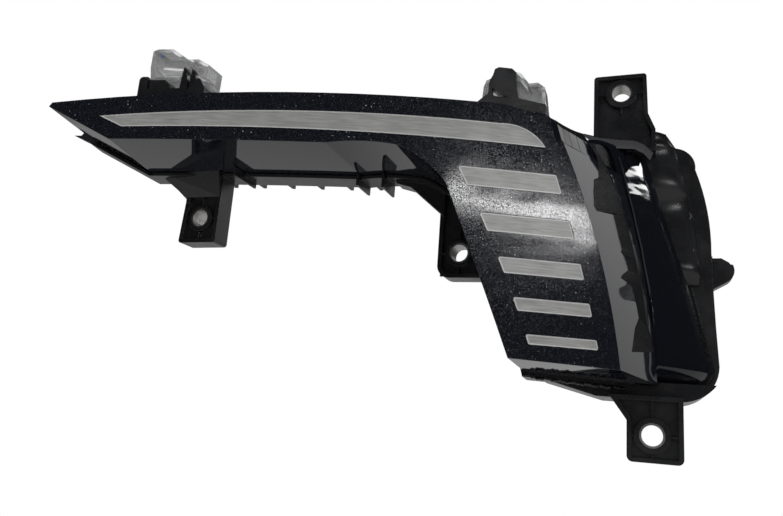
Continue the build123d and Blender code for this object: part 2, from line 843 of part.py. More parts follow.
def tab_gusset():
    """The slanted web that braces the arm fixing's tab under the arm's housing."""
    x, y, z = ARM_FIXING
    web = closed(
        (x - 10.2, z + 10.5),
        (x - 29.5, ARM_CORNER[1] + 2.0),
        (x - 10.2, ARM_CORNER[1] + 2.0),
    )
    return prism(web, y + 1.0, y + 10.0)


def neck_web():
    """The web that fills the corner between the middle fixing's tab and the arm."""
    web = closed(
        (-107.5, 109.5),
        (-107.5, 131.0),
        (-136.0, 131.0),
        (-133.0, 126.5),
        (-125.7, 125.0),
    )
    return prism(web) & band(RIM_START + 5.0, FLOOR_END)


def tip_clips():
    """The narrow strip and the hook under the slanted tip."""
    strip = closed((-297.0, 139.6), (-296.4, 136.4), (-276.6, 127.8), (-275.0, 131.4))
    hook = closed(
        (-310.7, 142.9),
        (-306.5, 143.0),
        (-304.5, 145.5),
        (-294.0, 146.0),
        (-290.0, 141.0),
        (-296.5, 137.0),
        (-303.0, 139.8),
    )
    return [
        prism(strip) & band(TIP_STRIP_NEAR, TIP_STRIP_FAR),
        prism(hook) & band(TIP_HOOK_NEAR, TIP_HOOK_FAR),
    ]


def under_fins():
    """The blade fin and the two fins of the snap catch under the arm."""
    fins = []
    top = ARM_LOWER_END[1] + 1.0
    for x, drop, near, far in FINS:
        fin = closed((x, top), (x + FIN_THICKNESS, top), (x + FIN_THICKNESS, 90.0), (x, 90.0))
        blade = prism(fin) & band(near, far)
        keep = Pos(x, 0, top - drop) * Box(
            20.0, 400.0, 40.0, align=(Align.CENTER, Align.CENTER, Align.MIN)
        )
        fins.append(blade & keep)
    return fins


def arm_ribs():
    """Upright ribs and one long rib on the back of the arm's housing."""
    ribs = []
    space = lamp_block(-RIM_PROUD, FLOOR_START + 1.0, FLOOR_END + RIB_HEIGHT)
    x = ARM_FIRST_X + 4.0
    while x < COLUMN_INNER_TOP[0] - 10.0:
        rib = Pos(x, 0, 140.0) * Box(RIB_THICKNESS, 400.0, 80.0)
        ribs.append(rib & space)
        x += RIB_PITCH
    height = bar_height(BAR_TOP_MIDDLE[0])
    long_rib = closed(
        (ARM_FIRST_X, height - 5.0),
        (COLUMN_INNER_TOP[0], height),
        (COLUMN_INNER_TOP[0], height + RIB_THICKNESS),
        (ARM_FIRST_X, height - 5.0 + RIB_THICKNESS),
    )
    ribs.append(prism(long_rib) & space)
    return ribs


def side_peg():
    """The flat lug on the outboard side of the tray, with a step on its top."""
    plate = closed(
        (28.0, 85.5),
        (33.8, 84.6),
        (41.4, 89.0),
        ((44.6, 93.5), (42.2, 101.5)),
        (38.5, 103.8),
        (28.0, 103.8),
    )
    peg = prism(plate, PEG_Y, PEG_Y + PEG_THICKNESS)
    step = closed((33.5, 99.0), (45.0, 99.0), (45.0, 106.0), (33.5, 106.0))
    return peg - prism(step, PEG_Y - 1.0, PEG_Y + PEG_THICKNESS / 2)


def housing():
    """The black moulded housing, with its rim, floor, posts, tabs and rear compartment."""
    body = lamp_block(-RIM_PROUD, RIM_START, FLOOR_END, side_inset=MASK_WALL + RIM_GAP)
    body += rear_body(0) - band(FAR_FRONT, SHOULDER_START)
    body += pocket(0)
    for piece in tabs() + [tab_gusset(), neck_web()] + tip_clips() + under_fins() + arm_ribs():
        body += piece
    body += side_peg()
    side_wall = MASK_WALL + RIM_GAP + HOUSING_WALL
    body -= lamp_block(-RIM_GAP, RIM_START - 40.0, BEAD_END)
    body -= lamp_block(HOUSING_WALL, RIM_START - 1.0, FLOOR_START, side_inset=side_wall)
    lap = lamp_block(MASK_WALL + RIM_GAP, LAP_START, BEAD_END + 1.0)
    body += lap - lamp_block(0.0, LAP_START - 1.0, FLOOR_START, side_inset=side_wall)
    body -= rear_body(TRAY_WALL) & band(FLOOR_END, 400.0)
    body -= wire_opening()
    for center, bore in fixings():
        body -= bored(center, bore + 2 * SLEEVE_WALL, FIXING_DEPTH + 2.0, -1.0)
    for post in posts():
        body += post
    return body


def fixings():
    """The centre and bore of each fixing."""
    return [
        (UPPER_FIXING, LARGE_BORE),
        (ARM_FIXING, SMALL_BORE),
        (MIDDLE_FIXING, SMALL_BORE),
        (LOWER_FIXING, LARGE_BORE),
    ]


def wire_opening():
    """The opening in the floor through which the boards' leads reach the driver."""
    x, z = WIRE_OPENING
    hole = Pos(x, z) * RectangleRounded(18.0, 12.0, 3.0)
    return prism(hole) & band(FLOOR_START - 1.0, FLOOR_END + 1.0)


def seal_bead():
    """The bead of sealant between the mask's rear edge and the step inside the rim."""
    ring = lamp_block(0.0, MASK_DEPTH, BEAD_END)
    ring -= lamp_block(MASK_WALL, MASK_DEPTH - 1.0, BEAD_END + 1.0)
    return ring & half_space(FAR_FRONT, MASK_REAR_Y)


def foot_bead():
    """The sealant squeezed out along the seam under the column's foot."""
    ring = lamp_block(-RIM_PROUD + 0.4, RIM_START - BEAD_WIDTH, RIM_START, side_inset=0.0)
    ring -= lamp_block(0.0, RIM_START - 5.0, RIM_START + 5.0, side_inset=-2.0)
    keep = Pos(0, 0, COLUMN_FOOT[1] - 20.0) * Box(
        90.0, 400.0, 20.0, align=(Align.CENTER, Align.CENTER, Align.MIN)
    )
    keep = Pos(COLUMN_FOOT[0] + 40.0, 0, 0) * keep
    return ring & keep & half_space(FAR_FRONT, POCKET_FRONT_Y)


def side_bead():
    """The glue bead along the cover's rear edge, in the corner with the tray."""
    outer = cover_limit(-BEAD_PROUD)
    rear = TRAY_FRONT_Y - SEAT_GAP
    bead = (outer - cover_limit(0)) & half_space(rear - BEAD_WIDTH, rear)
    bead = bead & prism(offset(rear_outline(), -0.5, kind=Kind.ARC))
    keep = Pos(-4.0, 0, COVER_FOOT + 2.0) * Box(
        80.0, 400.0, 130.0, align=(Align.MIN, Align.CENTER, Align.MIN)
    )
    return bead & keep


def rear_lid():
    """The cover that closes the rear compartment, with a lip, ribs and its openings."""
    outline = rear_outline()
    start = TRAY_REAR_Y + SEAL_THICKNESS
    lid = prism(outline, start, start + LID_THICKNESS)
    lip = offset(outline, -TRAY_WALL - LID_GAP, kind=Kind.ARC)
    inner = offset(outline, -TRAY_WALL - LID_GAP - 1.8, kind=Kind.ARC)
    rim = lip - inner
    for x, z in LID_SCREWS:
        rim -= Pos(x, z) * Circle(POST_DIAMETER / 2 + 1.0)
    lid += prism(rim, start - LID_LIP, start + 0.5)
    frame = offset(outline, -9.0, kind=Kind.ARC)
    for x in LID_RIBS:
        rib = Pos(x, LID_RIB_MIDDLE) * Rectangle(RIB_THICKNESS, LID_RIB_LENGTH)
        lid += prism(rib & frame, start + LID_THICKNESS - 0.2, start + LID_THICKNESS + 2.4)
    x, z = SOCKET_CENTER
    opening = RectangleRounded(SOCKET_WIDTH + 2 * LID_GAP, SOCKET_HEIGHT + 2 * LID_GAP, 2.7)
    lid -= prism(Pos(x, z) * opening, start - 9.0)
    flange = RectangleRounded(SOCKET_WIDTH + 8.0, SOCKET_HEIGHT + 8.0, 4.0)
    lid -= prism(Pos(x, z) * flange, start + LID_THICKNESS)
    x, z = VENT_CENTER
    lid -= prism(Pos(x, z) * Circle(VENT_STEM / 2), start - 9.0)
    for x, z in LID_SCREWS:
        lid -= prism(Pos(x, z) * Circle(SCREW_DIAMETER / 2 + SCREW_PLAY), start - 9.0)
        lid -= prism(Pos(x, z) * Circle(SCREW_HEAD / 2 + 0.6), start + LID_THICKNESS)
    return lid


def lid_seal():
    """The flat gasket between the tray's rear edge and the lid."""
    outline = rear_outline()
    inner = offset(outline, -TRAY_WALL, kind=Kind.ARC)
    return prism(outline - inner, TRAY_REAR_Y, TRAY_REAR_Y + SEAL_THICKNESS)


def lid_bosses():
    """The bosses inside the tray that take the lid's screws."""
    bosses = []
    for x, z in LID_SCREWS:
        ring = Pos(x, z) * Circle(POST_DIAMETER / 2 + 0.5)
        ring -= Pos(x, z) * Circle(SCREW_DIAMETER / 2 + SCREW_PLAY / 2)
        bosses.append(prism(ring, TRAY_REAR_Y - 12.0, TRAY_REAR_Y))
    return bosses


def lid_screws():
    """The screws that hold the rear lid."""
    group = []
    head_y = TRAY_REAR_Y + SEAL_THICKNESS + LID_THICKNESS
    for x, z in LID_SCREWS:
        head = prism(Pos(x, z) * Circle(SCREW_HEAD / 2), head_y, head_y + SCREW_HEAD_HEIGHT)
        shank = prism(Pos(x, z) * Circle(SCREW_DIAMETER / 2), head_y - SCREW_LENGTH, head_y)
        drive = prism(
            Pos(x, z) * RegularPolygon(1.1, 6), head_y + SCREW_HEAD_HEIGHT - 0.9, head_y + 9.0
        )
        group.append(head + shank - drive)
    return Compound(group)


def socket():
    """The connector socket: a keyed shroud behind the lid and a flange seated on it."""
    x, z = SOCKET_CENTER
    start = TRAY_REAR_Y + SEAL_THICKNESS + LID_THICKNESS
    end = start + SOCKET_REACH
    outer = Pos(x, z) * RectangleRounded(SOCKET_WIDTH, SOCKET_HEIGHT, 2.5)
    width = SOCKET_WIDTH - 2 * SOCKET_WALL
    height = SOCKET_HEIGHT - 2 * SOCKET_WALL
    inner = Pos(x, z) * RectangleRounded(width, height, 1.2)
    flange = Pos(x, z) * RectangleRounded(SOCKET_WIDTH + 7.0, SOCKET_HEIGHT + 7.0, 4.0)
    shroud = prism(flange, start, start + 2.0)
    shroud += prism(outer, start - LID_THICKNESS - 3.0, end)
    shroud -= prism(inner, start + 1.0, end + 1.0)
    latch = Pos(x, z + SOCKET_HEIGHT / 2) * Rectangle(6.0, 3.2)
    shroud += prism(latch - inner, end - 7.0, end - 3.0)
    for key_x in (x - 7.0, x + 7.0):
        key = Pos(key_x, z - SOCKET_HEIGHT / 2 + SOCKET_WALL) * Rectangle(1.4, 2.0)
        shroud += prism(key, start + 1.0, end - 1.0)
    for pin in pin_sketches():
        shroud -= prism(pin, start - 20.0, end)
    return shroud


def pin_sketches():
    """The sections of the connector's blades."""
    x, z = SOCKET_CENTER
    first = x - PIN_PITCH * (PIN_COUNT - 1) / 2
    return [
        Pos(first + PIN_PITCH * index, z) * Rectangle(PIN_SIZE, PIN_SIZE / 2)
        for index in range(PIN_COUNT)
    ]


def connector_pins():
    """The connector's blades, from the driver board into the socket."""
    start = TRAY_REAR_Y + SEAL_THICKNESS + LID_THICKNESS
    blades = [prism(pin, DRIVER_REAR_Y, start + SOCKET_REACH - 4.0) for pin in pin_sketches()]
    return Compound(blades)


def breather_vent():
    """The round vent cap pressed into the rear lid."""
    x, z = VENT_CENTER
    seat = TRAY_REAR_Y + SEAL_THICKNESS + LID_THICKNESS
    cap = prism(Pos(x, z) * Circle(VENT_DIAMETER / 2), seat, seat + 5.0)
    cap = fillet(cap.edges().sort_by(Axis.Y)[-1], 1.5)
    for angle in range(0, 360, 60):
        slot = Pos(x, z) * (Rot(0, 0, angle) * (Pos(VENT_DIAMETER / 2, 0) * Rectangle(4.0, 3.0)))
        cap -= prism(slot, seat - 0.5, seat + 2.0)
    stem = prism(Pos(x, z) * Circle(VENT_STEM / 2), seat - LID_THICKNESS - 2.0, seat + 0.5)
    return cap + stem


def driver_board():
    """The driver's circuit board, carried on the blades' side of the compartment."""
    outline = offset(rear_outline(), -TRAY_WALL - 1.0, kind=Kind.ARC)
    low, high = DRIVER_SPAN
    plate = Pos(-30.0, (low + high) / 2) * Rectangle(DRIVER_WIDTH, high - low)
    board_plate = prism(plate & outline, DRIVER_REAR_Y - BOARD_THICKNESS, DRIVER_REAR_Y)
    return board_plate


def driver_parts():
    """The large parts on the driver's board: a choke, two capacitors and three chips."""
    base = DRIVER_REAR_Y - BOARD_THICKNESS
    parts = []
    choke = Pos(-20.0, 100.0) * RectangleRounded(13.0, 13.0, 2.0)
    parts.append(prism(choke, base - 6.0, base))
    for x, z in ((-45.0, 92.0), (-45.0, 104.0)):
        parts.append(prism(Pos(x, z) * Circle(4.0), base - 9.0, base))
    for x, z in ((-20.0, 80.0), (-32.0, 80.0), (-44.0, 78.0)):
        parts.append(prism(Pos(x, z) * Rectangle(7.0, 5.0), base - 1.4, base))
    return Compound(parts)


def driver_rails():
    """The posts inside the lid that hold the driver's board."""
    rails = []
    low, high = DRIVER_SPAN
    for x in (-30.0 - DRIVER_WIDTH / 2 + 5.0, -30.0 + DRIVER_WIDTH / 2 - 5.0):
        for z in (low + 5.0, high - 5.0):
            post = Pos(x, z) * Circle(2.6)
            rails.append(prism(post, DRIVER_REAR_Y, TRAY_REAR_Y + SEAL_THICKNESS + 0.5))
    return rails


def board_jumper():
    """The flat flexible lead from the arm's board to the column's board."""
    x = JUMPER_X
    top = bar_height(x)
    section = closed(
        (x - 3.0, top - 3.0),
        (x + 3.0, top - 3.0),
        (x + 3.0, JUMPER_FOOT),
        (x - 3.0, JUMPER_FOOT),
    )
    return prism(section) & band(BOARD_END, BOARD_END + 0.3)


def bracket_base(shape, near, far):
    """A bracket stood on the mask's top, between two depths."""
    return (prism(shape) & band(near, far)) - lamp_block(0, 0, MASK_DEPTH)


def left_prongs():
    """The two tapered prongs on the left bracket, as flat faces."""
    return [
        closed((-236.2, 160.0), (-235.0, 174.2), (-233.6, 172.5), (-231.6, 160.0)),
        closed((-231.4, 160.0), (-230.6, 173.2), (-229.0, 171.0), (-226.8, 160.0)),
    ]


def left_bracket():
    """The black bracket on the arm's top, near the tip: a wall, a notched base and two prongs."""
    near = BRACKET_DEPTH
    frame = closed(
        (-257.0, 140.0),
        (-257.0, 164.6),
        ((-256.3, 166.3), (-254.6, 166.9)),
        (-252.6, 166.9),
        (-252.6, 160.0),
        (-251.4, 160.0),
        (-251.4, 165.1),
        (-243.4, 165.5),
        (-240.1, 160.9),
        (-230.6, 161.3),
        (-230.0, 167.0),
        (-225.5, 167.2),
        (-222.4, 162.2),
        (-222.4, 140.0),
    )
    bracket = bracket_base(frame, near, near + LEFT_BRACKET_DEPTH)
    for prong in left_prongs():
        bracket += bracket_base(prong, near + 1.0, near + 1.0 + PRONG_THICKNESS)
    return bracket


def left_clear_block():
    """The clear locating block on the left bracket: a stepped box open to the front."""
    outline = closed(
        (-251.4, 165.1),
        (-252.5, 172.7),
        (-252.4, 182.2),
        (-249.9, 183.5),
        (-241.9, 184.1),
        (-233.1, 178.2),
        (-227.5, 178.7),
        (-222.0, 175.6),
        (-222.4, 162.2),
        (-225.5, 167.2),
        (-230.0, 167.0),
        (-243.4, 165.5),
    )
    near = BRACKET_DEPTH + 0.5
    far = BRACKET_DEPTH + LEFT_BRACKET_DEPTH - 0.5
    block = prism(outline) & band(near, far)
    inner = offset(outline, -CLEAR_WALL, kind=Kind.ARC)
    block -= prism(inner) & band(0.0, far - CLEAR_BACK)
    shelf = closed((-251.6, 172.4), (-251.6, 174.2), (-233.0, 173.4), (-233.0, 171.8))
    block += prism(shelf) & band(near + 1.5, far - 0.5)
    for prong in left_prongs():
        notch = offset(prong, CLEAR_PLAY, kind=Kind.INTERSECTION)
        block -= prism(notch) & band(0.0, BRACKET_DEPTH + 1.0 + PRONG_THICKNESS + CLEAR_PLAY)
    return block


def right_bracket():
    """The black bracket on the arm's top, near the column, with a broad prong plate."""
    near = BRACKET_DEPTH
    frame = closed(
        (-85.7, 150.0),
        (-85.7, 165.7),
        (-80.3, 171.5),
        (-66.0, 169.8),
        (-53.5, 168.0),
        (-52.3, 167.8),
        (-52.3, 140.0),
    )
    plate = closed(
        (-81.5, 165.0),
        (-80.3, 178.5),
        (-78.9, 181.6),
        (-78.1, 185.2),
        (-76.1, 186.6),
        (-69.6, 186.6),
        (-67.6, 184.8),
        (-66.7, 173.2),
        (-64.5, 166.0),
    )
    opening = closed((-79.2, 174.0), (-71.5, 169.6), (-79.0, 169.0))
    bracket = bracket_base(frame, near, near + RIGHT_BRACKET_DEPTH)
    bracket += bracket_base(plate, near, near + PRONG_THICKNESS)
    return bracket - (prism(opening) & band(near - 1.0, near + PRONG_THICKNESS))


def right_clear_block():
    """The clear locating block on the right bracket: a stepped box open to the front."""
    outline = closed(
        (-84.8, 166.67),
        (-84.1, 176.3),
        (-82.8, 180.0),
        (-79.4, 182.1),
        (-76.1, 186.9),
        (-68.6, 187.0),
        (-65.6, 186.2),
        (-61.5, 180.8),
        (-57.0, 181.9),
        (-53.6, 179.7),
        (-52.3, 167.8),
        (-53.5, 168.0),
        (-66.0, 169.8),
        (-80.3, 171.5),
    )
    near = BRACKET_DEPTH + PRONG_THICKNESS + SEAT_GAP
    far = BRACKET_DEPTH + RIGHT_BRACKET_DEPTH - 1.0
    block = prism(outline) & band(near, far)
    inner = offset(outline, -CLEAR_WALL, kind=Kind.ARC)
    return block - (prism(inner) & band(0.0, far - CLEAR_BACK))


def nodes():
    """Every piece of the lamp, by name."""
    pieces = {
        "lens_mask": lens_mask(),
        "window_lens": window_lens(),
        "housing": full_housing(),
        "side_cover": side_cover(),
        "seal_bead": seal_bead(),
        "foot_bead": foot_bead(),
        "side_bead": side_bead(),
        "arm_light_guide": arm_light_guide(),
        "arm_reflector": arm_reflector(),
        "arm_light_board": board(grown(bar_window(), BOARD_MARGIN), arm_screws()),
        "arm_leds": leds(arm_emitters()),
        "column_light_guide": column_light_guide(),
        "column_reflector": column_reflector(),
        "column_light_board": board(grown(window_field(), BOARD_MARGIN), COLUMN_SCREWS),
        "column_leds": leds(column_emitters()),
        "heat_sink": heat_sink(),
        "board_screws": board_screws(),
        "board_jumper": board_jumper(),
        "rear_lid": full_lid(),
        "lid_seal": lid_seal(),
        "lid_screws": lid_screws(),
        "connector_socket": socket(),
        "connector_pins": connector_pins(),
        "breather_vent": breather_vent(),
        "driver_board": driver_board(),
        "driver_parts": driver_parts(),
        "left_bracket": left_bracket(),
        "left_clear_block": left_clear_block(),
        "right_bracket": right_bracket(),
        "right_clear_block": right_clear_block(),
    }
    names = ("upper_sleeve", "arm_sleeve", "middle_sleeve", "lower_sleeve")
    for name, (center, bore) in zip(names, fixings()):
        pieces[name] = sleeve(center, bore)
    return pieces


def full_housing():
    """The housing with the bosses for the lid's screws."""
    body = housing()
    for boss in lid_bosses():
        body += boss & prism(rear_outline())
    return body


def full_lid():
    """The rear lid with the posts for the driver's board."""
    lid = rear_lid()
    for rail in driver_rails():
        lid += rail
    return lid


os.makedirs("parts", exist_ok=True)
for name, piece in nodes().items():
    export_step(piece, f"parts/{name}.step")
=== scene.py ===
"""Dresses the daytime running light in its materials, adds its trim, and lights it in a studio."""

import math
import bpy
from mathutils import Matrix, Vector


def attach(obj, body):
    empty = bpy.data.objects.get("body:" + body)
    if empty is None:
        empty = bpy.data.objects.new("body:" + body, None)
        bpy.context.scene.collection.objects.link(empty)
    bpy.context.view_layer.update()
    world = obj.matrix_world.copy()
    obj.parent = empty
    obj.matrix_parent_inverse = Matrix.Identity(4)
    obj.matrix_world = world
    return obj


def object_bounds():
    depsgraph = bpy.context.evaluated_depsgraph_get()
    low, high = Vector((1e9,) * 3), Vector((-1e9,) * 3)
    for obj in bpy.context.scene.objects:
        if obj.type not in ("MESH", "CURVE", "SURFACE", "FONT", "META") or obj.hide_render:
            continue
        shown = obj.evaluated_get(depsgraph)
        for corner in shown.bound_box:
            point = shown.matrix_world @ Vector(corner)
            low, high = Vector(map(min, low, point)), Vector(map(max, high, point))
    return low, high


bl_info = {
    "name": "Daytime running light",
    "version": (1, 0, 0),
    "blender": (4, 5, 0),
    "location": "3D View > Sidebar > Lamp",
    "description": "Materials, trim and studio for a corner daytime running light",
    "category": "Object",
}

import bmesh
import bpy
from bpy.props import FloatProperty, FloatVectorProperty, IntProperty, PointerProperty
from mathutils import Matrix, Vector
from mathutils.bvhtree import BVHTree
from mathutils.noise import hetero_terrain

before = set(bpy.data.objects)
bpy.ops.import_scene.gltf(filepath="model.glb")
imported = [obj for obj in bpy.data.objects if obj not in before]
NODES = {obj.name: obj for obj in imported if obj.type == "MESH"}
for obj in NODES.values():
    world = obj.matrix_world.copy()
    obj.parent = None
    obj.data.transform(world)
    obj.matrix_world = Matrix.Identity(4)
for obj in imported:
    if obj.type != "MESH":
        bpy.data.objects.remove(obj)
CAD_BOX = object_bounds()

# Camera, in the lamp's frame
FOCAL_PX = 700.0
IMAGE_WIDTH_PX = 783.0
IMAGE_MIDDLE_PX = (391.5, 258.0)
SENSOR_MM = 36.0
CAMERA_PLACE = (-0.00105, -0.39064, -0.00068)
CAMERA_RIGHT = (0.93853, 0.336863, 0.0753608)
CAMERA_UP = (0.005644, -0.233263, 0.972397)
CAMERA_BACK = (0.345144, -0.912202, -0.220826)
CLIP_NEAR = 0.01
CLIP_FAR = 20.0

# Front surface of the mask, an upright cylinder
FACE_RADIUS = 1.3
FACE_SWEEP = math.radians(25.0)
FACE_POINT = (-0.050, -0.060)

# The windows' front: how far behind the front surface it lies at most, and the normal it faces
WINDOW_FRONT_REACH = 0.0012
WINDOW_FRONT_NORMAL_Y = -0.85
SAME_POINT = 0.00001
SAME_PLANE = math.radians(0.6)

# The mask's rising corner, as X and Z on the front surface
SHOULDER_FRONT = (
    (-0.0720, 0.1532),
    (-0.0600, 0.1541),
    (-0.0521, 0.1543),
    (-0.0498, 0.1535),
    (-0.0474, 0.1522),
    (-0.0450, 0.1493),
    (-0.0432, 0.1452),
    (-0.0450, 0.1420),
    (-0.0500, 0.1465),
    (-0.0700, 0.1490),
)
CORNER_THICKNESS = 0.003
CORNER_PROUD = 0.00003

# The upper outboard wall's plane: its X at Y and Z 0, and how that changes with Y and with Z
WALL_PLANE = (0.02107, 0.4194, -0.2761)

# The pixels at which the photograph shows that wall's upper end, from the front backwards
WALL_TOP_PX = (
    (557.0, 124.0), (562.0, 128.0), (568.0, 131.5), (576.0, 136.0), (584.0, 141.0),
    (591.0, 145.5),
)

# The ridge over it, as pixels and the Y at which each lies
RIDGE_PX = (
    (549.0, 117.0, -0.0589),
    (556.0, 120.5, -0.0510),
    (563.0, 125.0, -0.0440),
    (571.0, 129.3, -0.0350),
    (577.0, 131.8, -0.0260),
    (583.0, 133.5, -0.0170),
)
WALL_DROP = Vector((0.00245, 0.0, -0.0090))
RIDGE_DROP = Vector((-0.0140, 0.0, -0.0050))

# The cover's brow: its front edge and its rear edge, as X and Z
BROW_LOW = (
    (-0.0372, 0.1699),
    (-0.0292, 0.1618),
    (-0.0219, 0.1608),
    (-0.0087, 0.1593),
    (-0.0039, 0.1566),
    (-0.0002, 0.1521),
)
BROW_HIGH = (
    (-0.0379, 0.1732),
    (-0.0282, 0.1700),
    (-0.0188, 0.1682),
    (-0.0083, 0.1668),
    (-0.0030, 0.1639),
    (0.0017, 0.1587),
)
BROW_FRONT_Y = 0.008
BROW_REAR_Y = 0.0145
BROW_SUNK = Vector((0.0, 0.006, 0.003))

# The pixels of the ragged edge of a dark reflection on the outboard wall, from the top; the strip from
# there to the fold is painted dark as that reflection
REFLECTION_EDGE_TOP_PX = (597.0, 157.0)
REFLECTION_EDGE_PX = (
    (598.5, 168.0), (598.5, 177.5), (594.0, 179.5), (593.5, 193.0), (594.0, 206.0),
    (597.0, 211.0), (613.5, 214.5), (619.0, 236.0), (622.5, 247.0), (621.0, 252.0),
    (627.0, 260.0), (628.0, 270.0), (622.0, 275.0), (621.0, 278.0), (632.0, 286.0),
    (639.0, 318.0), (635.0, 328.0), (634.0, 335.0), (632.0, 352.0),
)
REFLECTION_EDGE_PROUD = 0.00005

# The fold behind that line: two points over the solid wall's end, and pixels below them
FOLD_TOP = ((-0.0297, -0.0222, 0.1508), (-0.0258, -0.0170, 0.1460))
FOLD_PX = (
    (606.0, 168.0), (611.0, 177.0), (612.0, 180.0), (617.0, 193.0), (621.0, 206.0),
    (622.5, 211.0), (623.5, 214.5), (629.5, 236.0), (632.5, 247.0), (633.5, 252.0),
    (635.5, 260.0), (637.5, 270.0), (639.0, 275.0), (639.5, 278.0), (641.5, 286.0),
    (646.0, 318.0), (648.0, 328.0), (650.0, 335.0), (654.0, 352.0),
)
FOLD_PROUD = 0.0012
FOLD_SINK = Vector((-0.0030, 0.0012, 0.0))
FOLD_RADIUS = 0.0003

# The left edge of the side panel's flat part: its upper end, and pixels below it
PANEL_TOP = Vector((-0.0200, 0.0075, 0.1580))
PANEL_EDGE_PX = (
    (620.0, 160.0), (624.0, 175.0), (629.0, 196.0), (633.0, 211.0), (637.0, 230.0),
    (641.0, 247.0), (645.0, 270.0), (649.0, 290.0), (652.0, 310.0), (654.0, 325.0),
)
PANEL_PROUD = 0.0003
PANEL_EDGE_RADIUS = 0.0008

# The pillow-shaped front of the rear compartment: Z, left X, right X and swell at each height
LOBE_ROWS = (
    (0.1835, -0.0160, -0.0030, 0.0010),
    (0.1820, -0.0240, 0.0040, 0.0035),
    (0.1780, -0.0270, 0.0090, 0.0060),
    (0.1700, -0.0280, 0.0145, 0.0080),
    (0.1570, -0.0250, 0.0185, 0.0090),
    (0.1400, -0.0200, 0.0215, 0.0090),
    (0.1220, -0.0140, 0.0250, 0.0080),
    (0.1010, -0.0060, 0.0268, 0.0060),
    (0.0860, 0.0040, 0.0270, 0.0030),
)
LOBE_SIDES = 14
LOBE_Y = 0.0402

# Floors of the fixing tabs: name, outline, middle and radius of the hole, and the front's Y
TAB_FLOOR_THICKNESS = 0.001
HOLE_SIDES = 40
TAB_FLOORS = (
    (
        "upper_tab_floor",
        (
            (-0.0305, 0.1640),
            (-0.0305, 0.2088),
            (-0.0030, 0.2088),
            (-0.0022, 0.1840),
            (0.0015, 0.1640),
        ),
        (-0.0160, 0.1980),
        0.0085,
        0.0172,
    ),
    (
        "arm_tab_floor",
        ((-0.2455, 0.0857), (-0.2442, 0.1120), (-0.2240, 0.1120), (-0.2240, 0.0857)),
        (-0.2342, 0.0985),
        0.0070,
        -0.0758,
    ),
    (
        "middle_tab_floor",
        ((-0.1092, 0.0766), (-0.1092, 0.1240), (-0.0806, 0.1240), (-0.0806, 0.0766)),
        (-0.0984, 0.0892),
        0.0070,
        -0.0278,
    ),
    (
        "lower_tab_floor",
        (
            (-0.0112, -0.0124),
            (-0.0112, 0.0074),
            (-0.0195, 0.0190),
            (0.0138, 0.0190),
            (0.0138, -0.0124),
        ),
        (0.0, 0.0),
        0.0085,
        0.0022,
    ),
)

# Ribs of the tabs: name, hole's middle, boss radius, ends (left, right, low, high), and front's Y
RIB_WIDTH = 0.0009
RIB_DEPTH = 0.0019
TAB_RIBS = (
    ("upper_tab_ribs", (-0.0160, 0.1980), 0.0092, (-0.0310, -0.0024, 0.1845, 0.2094), 0.0153),
    ("arm_tab_ribs", (-0.2342, 0.0985), 0.0077, (-0.2458, -0.2236, 0.0852, 0.1105), -0.0777),
    ("middle_tab_ribs", (-0.0984, 0.0892), 0.0077, (-0.1098, -0.0806, 0.0760, 0.1230), -0.0297),
    ("lower_tab_ribs", (0.0, 0.0), 0.0092, (-0.0118, 0.0144, -0.0130, 0.0190), 0.0003),
)

# The neck over the arm's tab: its upper section and its lower one
NECK_HIGH = (
    (-0.2630, -0.0850, 0.1250),
    (-0.2232, -0.0820, 0.1245),
    (-0.2232, -0.0700, 0.1245),
    (-0.2600, -0.0700, 0.1250),
)
NECK_LOW = (
    (-0.2449, -0.0782, 0.1105),
    (-0.2232, -0.0782, 0.1105),
    (-0.2232, -0.0700, 0.1105),
    (-0.2449, -0.0700, 0.1105),
)

# Sealant, glue and paint
BEAD_END_SHARE = 0.35
BEAD_SIDES = 8
GLUE_SIDES = 7
FOOT_BEAD_X = (-0.0600, -0.0130)
FOOT_BEAD_DEPTH = 0.0466
FOOT_BEAD_Z = 0.0252
FOOT_BEAD_FALL = -0.0022
FOOT_BEAD_SWAY = (0.0004, 0.0005)
GLUE_SWAY = 0.0006
GLUE_RADIUS = 0.0010
GLUE_POINTS = (
    (0.0020, 0.0385, 0.1680),
    (0.0052, 0.0385, 0.1610),
    (0.0072, 0.0385, 0.1530),
    (0.0099, 0.0385, 0.1440),
    (0.0131, 0.0385, 0.1340),
    (0.0168, 0.0385, 0.1230),
    (0.0200, 0.0385, 0.1120),
)
LUMP_PLACE = (0.0215, 0.0380, 0.1065)
LUMP_SIZE = (0.0028, 0.0016, 0.0040)
DAB_PLACE = (-0.2525, 0.0275, 0.1838)
DAB_SIZE = (0.0014, 0.0004, 0.0018)

# Large soft lights that the gloss doesn't show
LAMP_MIDDLE = (-0.12, -0.05, 0.09)
KEY_PLACE = (-0.45, -0.9, 1.1)
KEY_SIZE = (1.0, 0.7)
FILL_PLACE = (0.9, -0.5, 0.5)
FILL_SIZE = (0.7, 0.7)
FILL_POWER = 3.0

# Lights seen in the front, by the X and Z where they show, and their height and power
FACE_STRIPS = (
    ("upper face strip", (-0.0917, 0.1100), (-0.0280, 0.0990), 0.030, 0.9),
    ("lower face strip", (-0.0640, 0.0962), (-0.0261, 0.0880), 0.012, 0.3),
)
FACE_STRIP_DISTANCE = 1.0

# The card seen in the panel's top band
BROW_CARD_PLACE = (-0.050, 0.300, 1.32)
BROW_CARD_TARGET = (-0.015, 0.014, 0.165)
BROW_CARD_SIZE = (0.7, 0.45)
BROW_CARD_POWER = 1.6

# Lights seen in the panel, by their two ends, and their height and power
COVER_SPOT = (-0.005, 0.014, 0.140)
COVER_STRIPS = (
    ("upper cover strip", (0.94, 0.25, 0.815), (0.76, 0.68, 0.765), 0.028, 0.40),
    ("lower cover strip", (0.99, 0.18, 0.765), (0.79, 0.67, 0.715), 0.018, 0.28),
)

